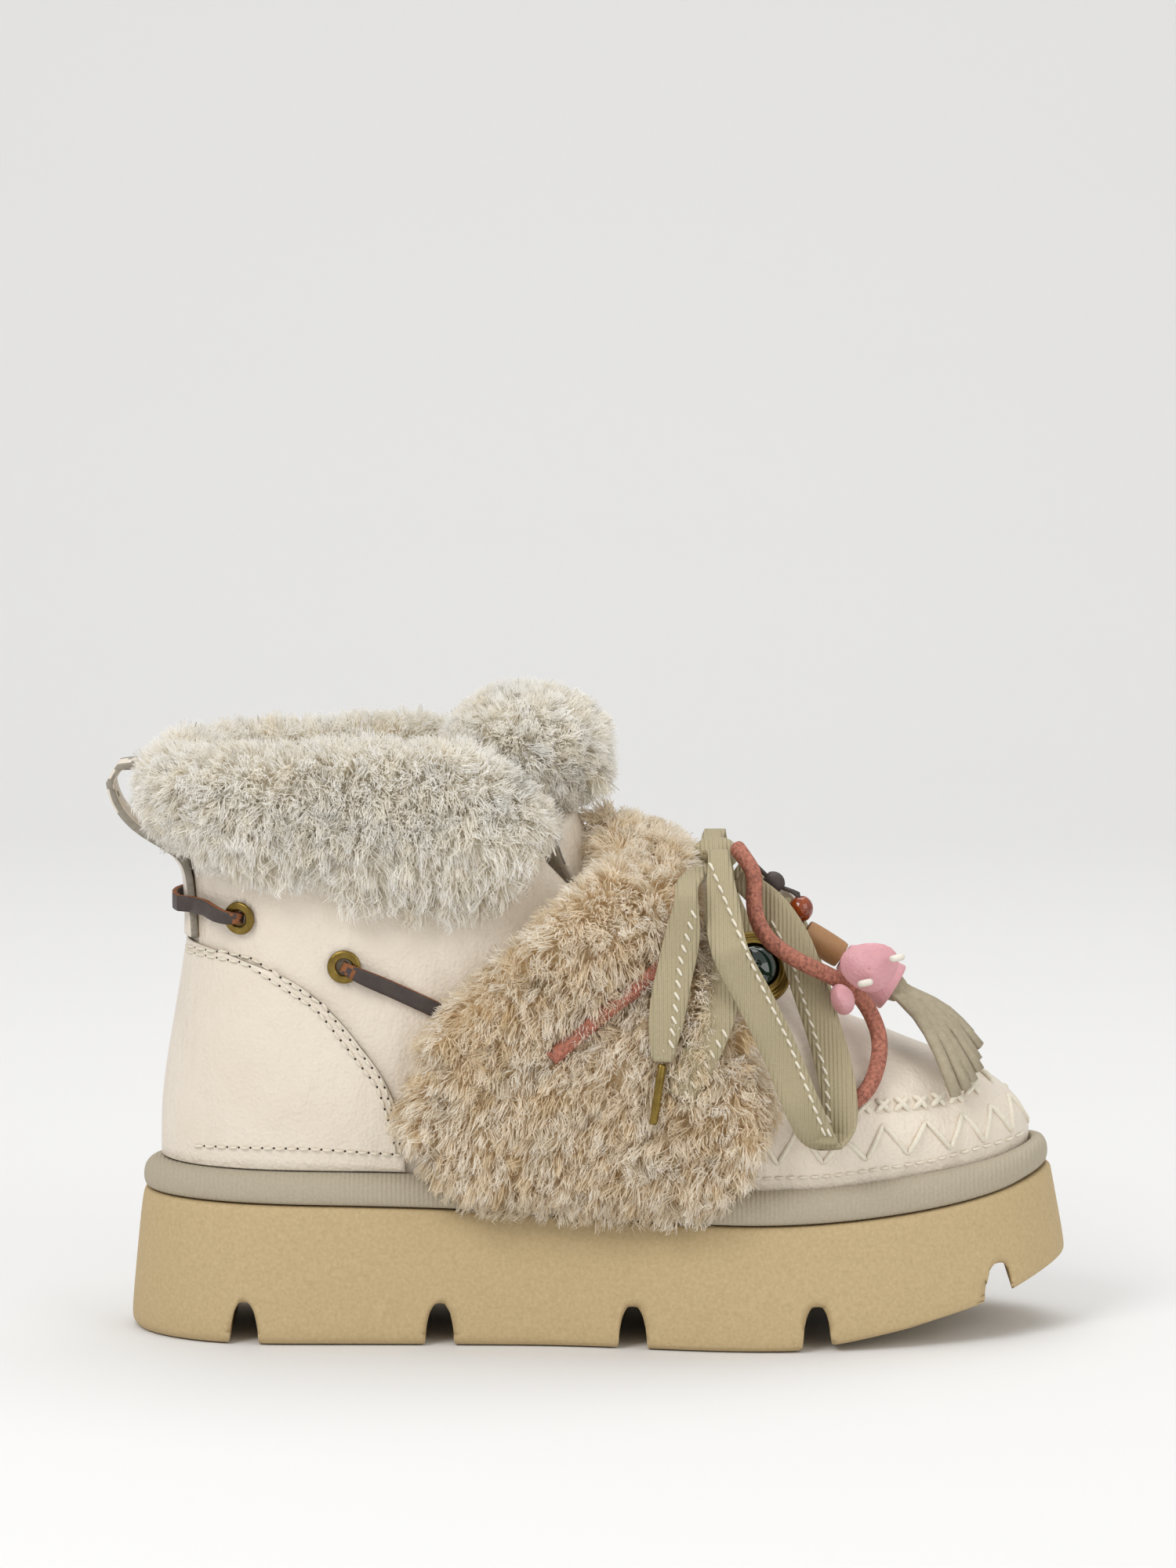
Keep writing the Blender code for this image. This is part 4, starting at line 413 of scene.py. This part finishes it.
def hairs(name, source, clear, count, length, look, seed, fall, lift, keep):
    """Curved hairs gathered in locks over a solid, except where it lies on what is behind it."""
    rnd = np.random.default_rng(seed)
    corner, area, normals = surface(NODES[source].data)
    good = np.zeros(len(corner), bool)
    for i, c in enumerate(corner.mean(axis=1)):
        near = clear.find_nearest(Vector(c))
        good[i] = near[3] > BARE and (keep is None or keep(c))
    area = np.where(good, area, 0)
    pick = rnd.choice(len(corner), count, p=area / area.sum())
    u, v = rnd.random(count), rnd.random(count)
    flip = u + v > 1
    u[flip], v[flip] = 1 - u[flip], 1 - v[flip]
    share = np.stack([1 - u - v, u, v], axis=1)
    root = np.einsum("nk,nkc->nc", share, corner[pick])
    up = unit(np.einsum("nk,nkc->nc", share, normals[pick]), 1e-9)

    # Each hair belongs to the nearest head, which leads its lock
    locks = max(int(area.sum() / LOCK**2), 8)
    heads = rnd.choice(count, min(locks, count), replace=False)
    finder = kdtree.KDTree(len(heads))
    for k, h in enumerate(heads):
        finder.insert(Vector(root[h]), k)
    finder.balance()
    mine = np.array([finder.find(Vector(p))[1] for p in root])
    fall = np.array(fall, float)
    hang = fall - up * (up @ fall)[:, None]
    stray = rnd.normal(0, 1, (len(heads), 3))
    lead = unit(up[heads] * lift + hang[heads] * 0.9 + stray * WILD * 0.5)
    reach = length * rnd.uniform(0.75, 1.2, len(heads))
    head_tip = root[heads] + lead * reach[:, None]

    # Its own way, pulled towards the lock's tip, and curled
    long = length * rnd.uniform(0.65, 1.1, count)
    own = unit(up * lift + hang * 0.7 + rnd.normal(0, WILD * 0.45, (count, 3)))
    tip = root + own * long[:, None]
    pull = rnd.uniform(0.15, 0.6, count)[:, None]
    tip = tip * (1 - pull) + head_tip[mine] * pull
    curl = rnd.normal(0, 1, (len(heads), 3))[mine] * 0.16 * length
    curl = curl + rnd.normal(0, 0.07 * length, (count, 3))
    one = root + (tip - root) * 0.30 + up * long[:, None] * 0.16 + curl * 0.5
    two = root + (tip - root) * 0.68 + up * long[:, None] * 0.14 - curl * 0.6
    side = np.cross(tip - root, rnd.normal(0, 1, (count, 3)))
    side = unit(side, 1e-9) * HAIR_WIDTH / 2
    base = root - up * SUNK
    points = np.stack([base - side, base + side, one - side, one + side, two - side * 0.8,
                       two + side * 0.8, tip], axis=1).reshape(-1, 3)

    # Red is the way up the hair, which paints shade towards the root, and green the lock's patch
    rise = np.tile(RISE, (count, 1))
    rise = np.clip(rise * rnd.uniform(0.8, 1.15, (count, 1)), 0, 1)
    patch = np.clip(rnd.normal(0.25, 0.25, len(heads)), 0, 1)[mine][:, None] * np.ones((1, 7))
    shades_and_patches = np.stack([rise, patch, rise * 0, rise * 0 + 1], axis=2).reshape(-1, 4)
    ribbons(name, points, shades_and_patches, look)


# Stitches. Lines are in pixels of the photograph, and each is repeated on the inner side.
COUNTER_EDGE = [(238, 1199), (332, 1212), (424, 1272), (467, 1328), (500, 1371), (519, 1439),
                (523, 1475)]
LIP_BACK = [(250, 1462), (400, 1464), (520, 1472)]
LIP_FRONT = [(925, 1500), (1050, 1497), (1180, 1480), (1290, 1455), (1370, 1425)]
ZIGZAG_TOPS = [(960, 1437), (1014, 1437), (1069, 1448), (1122, 1432), (1177, 1429),
               (1224, 1421), (1261, 1412), (1286, 1400)]
ZIGZAG_FEET = [(988, 1482), (1046, 1481), (1101, 1477), (1153, 1471), (1208, 1465),
               (1253, 1458), (1290, 1447), (1315, 1437)]
APRON = [(930, 1402), (964, 1405), (1101, 1410), (1173, 1406), (1216, 1400), (1248, 1386),
         (1269, 1367), (1255, 1350)]
LACE_LINES = [
    [(894, 1120), (866, 1220), (852, 1340)],
    [(905, 1105), (936, 1183), (968, 1256), (1000, 1322), (1045, 1438)],
    [(1052, 1438), (1050, 1372), (1034, 1310), (1004, 1215), (985, 1179)],
    [(928, 1300), (872, 1392)],
]
STRIPS = ("lace_end_one", "lace_end_two", "lace_loop_outer", "lace_end_inner",
          "lace_loop_inner")
# Pixels of a machine stitch and of the gap after it, and of a crossed stitch's and a dash's step
STITCH, BREAK, CROSS_STEP, DASH_STEP = 11, 4, 24, 15
# Metres: radius of machine thread, yarn, dash and pinhole, and the longest stitches allowed
THREAD, YARN, DASH, PINHOLE = 0.00042, 0.00088, 0.00045, 0.00042
LONGEST_STITCH, LONGEST_CROSS, LONGEST_DASH = 0.012, 0.02, 0.006
# Along a thread: share of its length, of its radius, and how far it arches over what it joins
ARCH = ((0.0, 0.45, -0.5), (0.12, 0.9, 0.15), (0.5, 1.0, 0.55), (0.88, 0.9, 0.15),
        (1.0, 0.45, -0.5))


def seen(px, py):
    """The x and z of a pixel of the photograph, on the plane through the boot's middle."""
    return (px - COLUMN[0]) * PIXEL + COLUMN[1], (ROW[0] - py) * PIXEL + ROW[1]


def on(tree, px, py, side, lift):
    """Where the line of sight through a pixel, or its mirror, meets a surface, and its normal."""
    x, z = seen(px, py)
    way = Vector((0, -side * SIGHT[0], -SIGHT[1]))
    hit, normal, _, _ = tree.ray_cast(Vector((x, side * EYE, z + EYE * DOWN)), way)
    if hit is None:
        return None, None
    normal = normal if normal.dot(way) < 0 else -normal
    return hit + normal * lift, normal


def join(tree, start, end, side, lift, longest=None):
    """A thread between two pixels, as a list that is empty where it can't be sewn."""
    a, n = on(tree, *start, side, lift)
    b, m = on(tree, *end, side, lift)
    if a is None or b is None or (longest and (a - b).length >= longest):
        return []
    return [(a, b, (n + m).normalized())]


def threads(name, runs, radius, look, sides=6):
    """Short arched threads as one mesh. Each run: two ends and the normal between them."""
    points, faces = [], []
    for a, b, normal in runs:
        way = (b - a).normalized()
        across = way.cross(normal).normalized()
        out = across.cross(way).normalized()
        start = len(points)
        for t, wide, rise in ARCH:
            middle = a.lerp(b, t) + out * radius * rise
            for k in range(sides):
                turn = 2 * math.pi * k / sides
                round_it = across * math.cos(turn) + out * math.sin(turn)
                points.append(middle + round_it * radius * wide)
        for r in range(len(ARCH) - 1):
            for k in range(sides):
                n = (k + 1) % sides
                i = start + r * sides
                faces.append((i + k, i + n, i + sides + n, i + sides + k))
        faces.append(tuple(start + k for k in range(sides))[::-1])
        faces.append(tuple(start + (len(ARCH) - 1) * sides + k for k in range(sides)))
    add_piece(name, points, faces, look)


def dots(name, spots, radius, look, sides=7):
    """Low cones over a surface, whose dark colour is painted shade that reads as holes."""
    points, faces = [], []
    for place, normal in spots:
        one = normal.orthogonal().normalized()
        two = normal.cross(one)
        start = len(points)
        points.append(place + normal * radius * 0.35)
        for k in range(sides):
            turn = 2 * math.pi * k / sides
            round_it = one * math.cos(turn) + two * math.sin(turn)
            points.append(place + round_it * radius - normal * radius * 0.3)
        for k in range(sides):
            faces.append((start, start + 1 + k, start + 1 + (k + 1) % sides))
    add_piece(name, points, faces, look)


def walk(line, step):
    """Points a step apart along a line of pixels."""
    line = np.array(line, float)
    lengths = np.linalg.norm(np.diff(line, axis=0), axis=1)
    run = np.concatenate([[0], np.cumsum(lengths)])
    at = np.arange(0, run[-1], step)
    return np.stack([np.interp(at, run, line[:, 0]), np.interp(at, run, line[:, 1])], axis=1)


def sew(tree, line, side):
    """Machine stitches and the pinholes between them along a line of pixels."""
    runs, holes = [], []
    marks = walk(line, STITCH + BREAK)
    for p, q in zip(marks[:-1], marks[1:]):
        end = p + (q - p) * STITCH / (STITCH + BREAK)
        runs += join(tree, p, end, side, 0.00035, LONGEST_STITCH)
        place, normal = on(tree, *(end + (q - end) / 2), side, 0.0001)
        if place is not None:
            holes.append((place, normal))
    return runs, holes


def stitch(leather):
    """The counter's double seam, the lip line, the toe's zigzag and the apron's crosses."""
    outer = [(x - 8 * (x > 250), y + 8) for x, y in COUNTER_EDGE]
    inner = [(x - 15 * (x > 250), y + 15 - 7 * (x > 500)) for x, y in COUNTER_EDGE]
    zigzag = [p for pair in zip(ZIGZAG_TOPS, ZIGZAG_FEET) for p in pair]
    cream, holes, yarn = [], [], []
    for side in (-1, 1):
        for line in (outer, inner, LIP_BACK):
            runs, spots = sew(leather, line, side)
            cream += runs
            holes += spots
        cream += sew(leather, LIP_FRONT, side)[0]
        for p, q in zip(zigzag[:-1], zigzag[1:]):
            yarn += join(leather, p, q, side, 0.0005)
        for x, y in walk(APRON, CROSS_STEP):
            for dx, dy in ((9, 8), (9, -8)):
                yarn += join(leather, (x - dx, y - dy), (x + dx, y + dy), side, 0.0005,
                             LONGEST_CROSS)
    threads("counter_stitches", cream, THREAD, "yarn")
    threads("vamp_yarn", yarn, YARN, "yarn")
    # Dark cones of painted shade stand in for the needle holes.
    dots("pinholes", holes, PINHOLE, "hole_shade")


def dash_laces():
    """White dashes along the strips of the bow."""
    strips = tree_of(*[bpy.data.objects[name + "_skin"] for name in STRIPS])
    dashes = []
    for side in (-1, 1):
        for line in LACE_LINES:
            for x, y in walk(line, DASH_STEP):
                dashes += join(strips, (x - 3, y - 5), (x + 3, y + 5), side, 0.0002,
                               LONGEST_DASH)
    threads("lace_dashes", dashes, DASH, "yarn", 5)


# The pink leather over the tassel's cap: outlines in pixels and the y of each sheet's middle
PETALS = [
    ([(1070, 1206), (1130, 1199), (1150, 1230), (1118, 1272), (1088, 1262), (1064, 1240)],
     -0.0345),
    ([(1058, 1250), (1086, 1262), (1088, 1290), (1070, 1299), (1055, 1280)], -0.0325),
]
PETAL_ROWS = (0.0, 0.55, 0.9, 1.0)
PETAL_CUP, PETAL_THICK = 0.004, 0.0012
PETAL_KNOTS = ((1138, 1222), (1098, 1254))
KNOT_Y = -0.0362


def petals():
    """The folded pink leather over the tassel's cap, with its two knots of yarn."""
    points, faces = [], []
    for sheet, depth in PETALS:
        ring = np.array(sheet, float)
        middle = ring.mean(axis=0)
        start = len(points)
        for share in PETAL_ROWS:
            for px, py in middle + (ring - middle) * share:
                x, z = seen(px, py)
                points.append((x, depth + PETAL_CUP * share**2, z - depth * DOWN))
        for r in range(len(PETAL_ROWS) - 1):
            for k in range(len(ring)):
                n = (k + 1) % len(ring)
                i = start + r * len(ring)
                faces.append((i + k, i + n, i + len(ring) + n, i + len(ring) + k))
    obj = add_piece("petals", points, faces, "pink")
    thick = obj.modifiers.new("thick", "SOLIDIFY")
    thick.thickness, thick.offset = PETAL_THICK, 0
    soft = obj.modifiers.new("soft", "SUBSURF")
    soft.levels = soft.render_levels = 2
    knots = []
    for px, py in PETAL_KNOTS:
        x, z = seen(px, py)
        z += 0.036 * DOWN
        knots.append((Vector((x - 0.002, KNOT_Y, z)), Vector((x + 0.0025, KNOT_Y, z + 0.001)),
                      Vector((0, -1, 0.1))))
    threads("petal_stitches", knots, 0.0011, "shell")


def dress():
    """Skins over every node, then hair, stitches, dashes and petals."""
    upper = skin("upper", "leather", 2, 0.6, 38)
    crease_upper(upper)
    bare = tree_of(upper)
    skin("outsole", "sole", 2, 0.75, 32)
    rand = skin("rand", "rand", 2, 0.3, 50)
    tongue = skin("tongue", "leather", 2, 0.7, 38, "edge", tree_of(NODES["tongue"]))
    counter = skin("heel_counter", "leather", 2, 0.7, 38, "edge", bare)
    strap = skin("pull_strap", "leather", 2, 0.8, 38, "edge", bare)
    for name in ("thong_front_outer", "thong_front_inner", "thong_rear"):
        skin(name, "thong", 2, 0.8, 38, "thong_edge", bare)
    for look, levels, crease, sharp, names in SKINS:
        for name in names:
            skin(name, look, levels, crease, sharp)
    leather = tree_of(upper, counter, strap, rand)
    under = tree_of(upper, rand, tongue)
    for name, source, count, length, look, seed, fall, lift, keep in GROWTHS:
        hairs(name, source, under, count, length, look, seed, fall, lift, keep)
    stitch(leather)
    dash_laces()
    petals()


# The studio, in metres. The camera stands at the photograph's angle, and VIEW_HEIGHT is what
# its picture spans at the boot.
SWEEP_START, SWEEP_RADIUS, SWEEP_HALF = 1.2, 0.8, 5
FLOOR_DROP = 0.0002
LAMPS = [("key", (-0.9, -1.3, 1.5), 18, 0.9), ("fill", (1.3, -1.2, 0.8), 7, 1.2),
         ("top", (0.2, 0.5, 1.8), 13, 1.4)]
LAMP_AIM = Vector((0.0877, 0, 0.1))
SKY, SKY_STRENGTH = (1, 0.99, 0.97, 1), 0.62
TARGET = Vector((0.0877, 0, 0.1623))
ELEVATION, DISTANCE = math.radians(6.5), 2.2
VIEW_HEIGHT, SENSOR = 0.467, 36


def aimed(name, data, place, target):
    obj = bpy.data.objects.new(name, data)
    obj.location = place
    obj.rotation_euler = (target - Vector(place)).to_track_quat("-Z", "Y").to_euler()
    bpy.context.scene.collection.objects.link(obj)
    return obj


def backdrop():
    """A floor that bends up into a wall, just under the sole."""
    rows = [(-3.0, 0.0)]
    for t in np.linspace(0, math.pi / 2, 10):
        rows.append((SWEEP_START + SWEEP_RADIUS * math.sin(t),
                     SWEEP_RADIUS - SWEEP_RADIUS * math.cos(t)))
    rows.append((2.0, 4.0))
    points, faces = [], []
    for y, z in rows:
        points += [(-SWEEP_HALF, y, z - FLOOR_DROP), (SWEEP_HALF, y, z - FLOOR_DROP)]
    for k in range(len(rows) - 1):
        faces.append((2 * k, 2 * k + 1, 2 * k + 3, 2 * k + 2))
    mesh = bpy.data.meshes.new("backdrop")
    mesh.from_pydata(points, [], faces)
    mesh.materials.append(material("studio", "E4E4E4", 0.9))
    mesh.polygons.foreach_set("use_smooth", [True] * len(mesh.polygons))
    floor = bpy.data.objects.new("backdrop", mesh)
    bpy.context.scene.collection.objects.link(floor)


def light_and_camera():
    for name, place, power, wide in LAMPS:
        lamp = bpy.data.lights.new(name, "AREA")
        lamp.energy, lamp.size = power, wide
        aimed(name, lamp, place, LAMP_AIM)
    world = bpy.data.worlds.new("world")
    world.use_nodes = True
    sky = world.node_tree.nodes["Background"]
    sky.inputs["Color"].default_value = SKY
    sky.inputs["Strength"].default_value = SKY_STRENGTH
    bpy.context.scene.world = world
    camera = bpy.data.cameras.new("camera")
    camera.sensor_fit = "VERTICAL"
    camera.sensor_height = SENSOR
    camera.lens = SENSOR * DISTANCE / VIEW_HEIGHT
    back = Vector((0, -math.cos(ELEVATION), math.sin(ELEVATION)))
    bpy.context.scene.camera = aimed("camera", camera, TARGET + back * DISTANCE, TARGET)
    bpy.context.scene.view_settings.view_transform = "Standard"


dress()
backdrop()
light_and_camera()
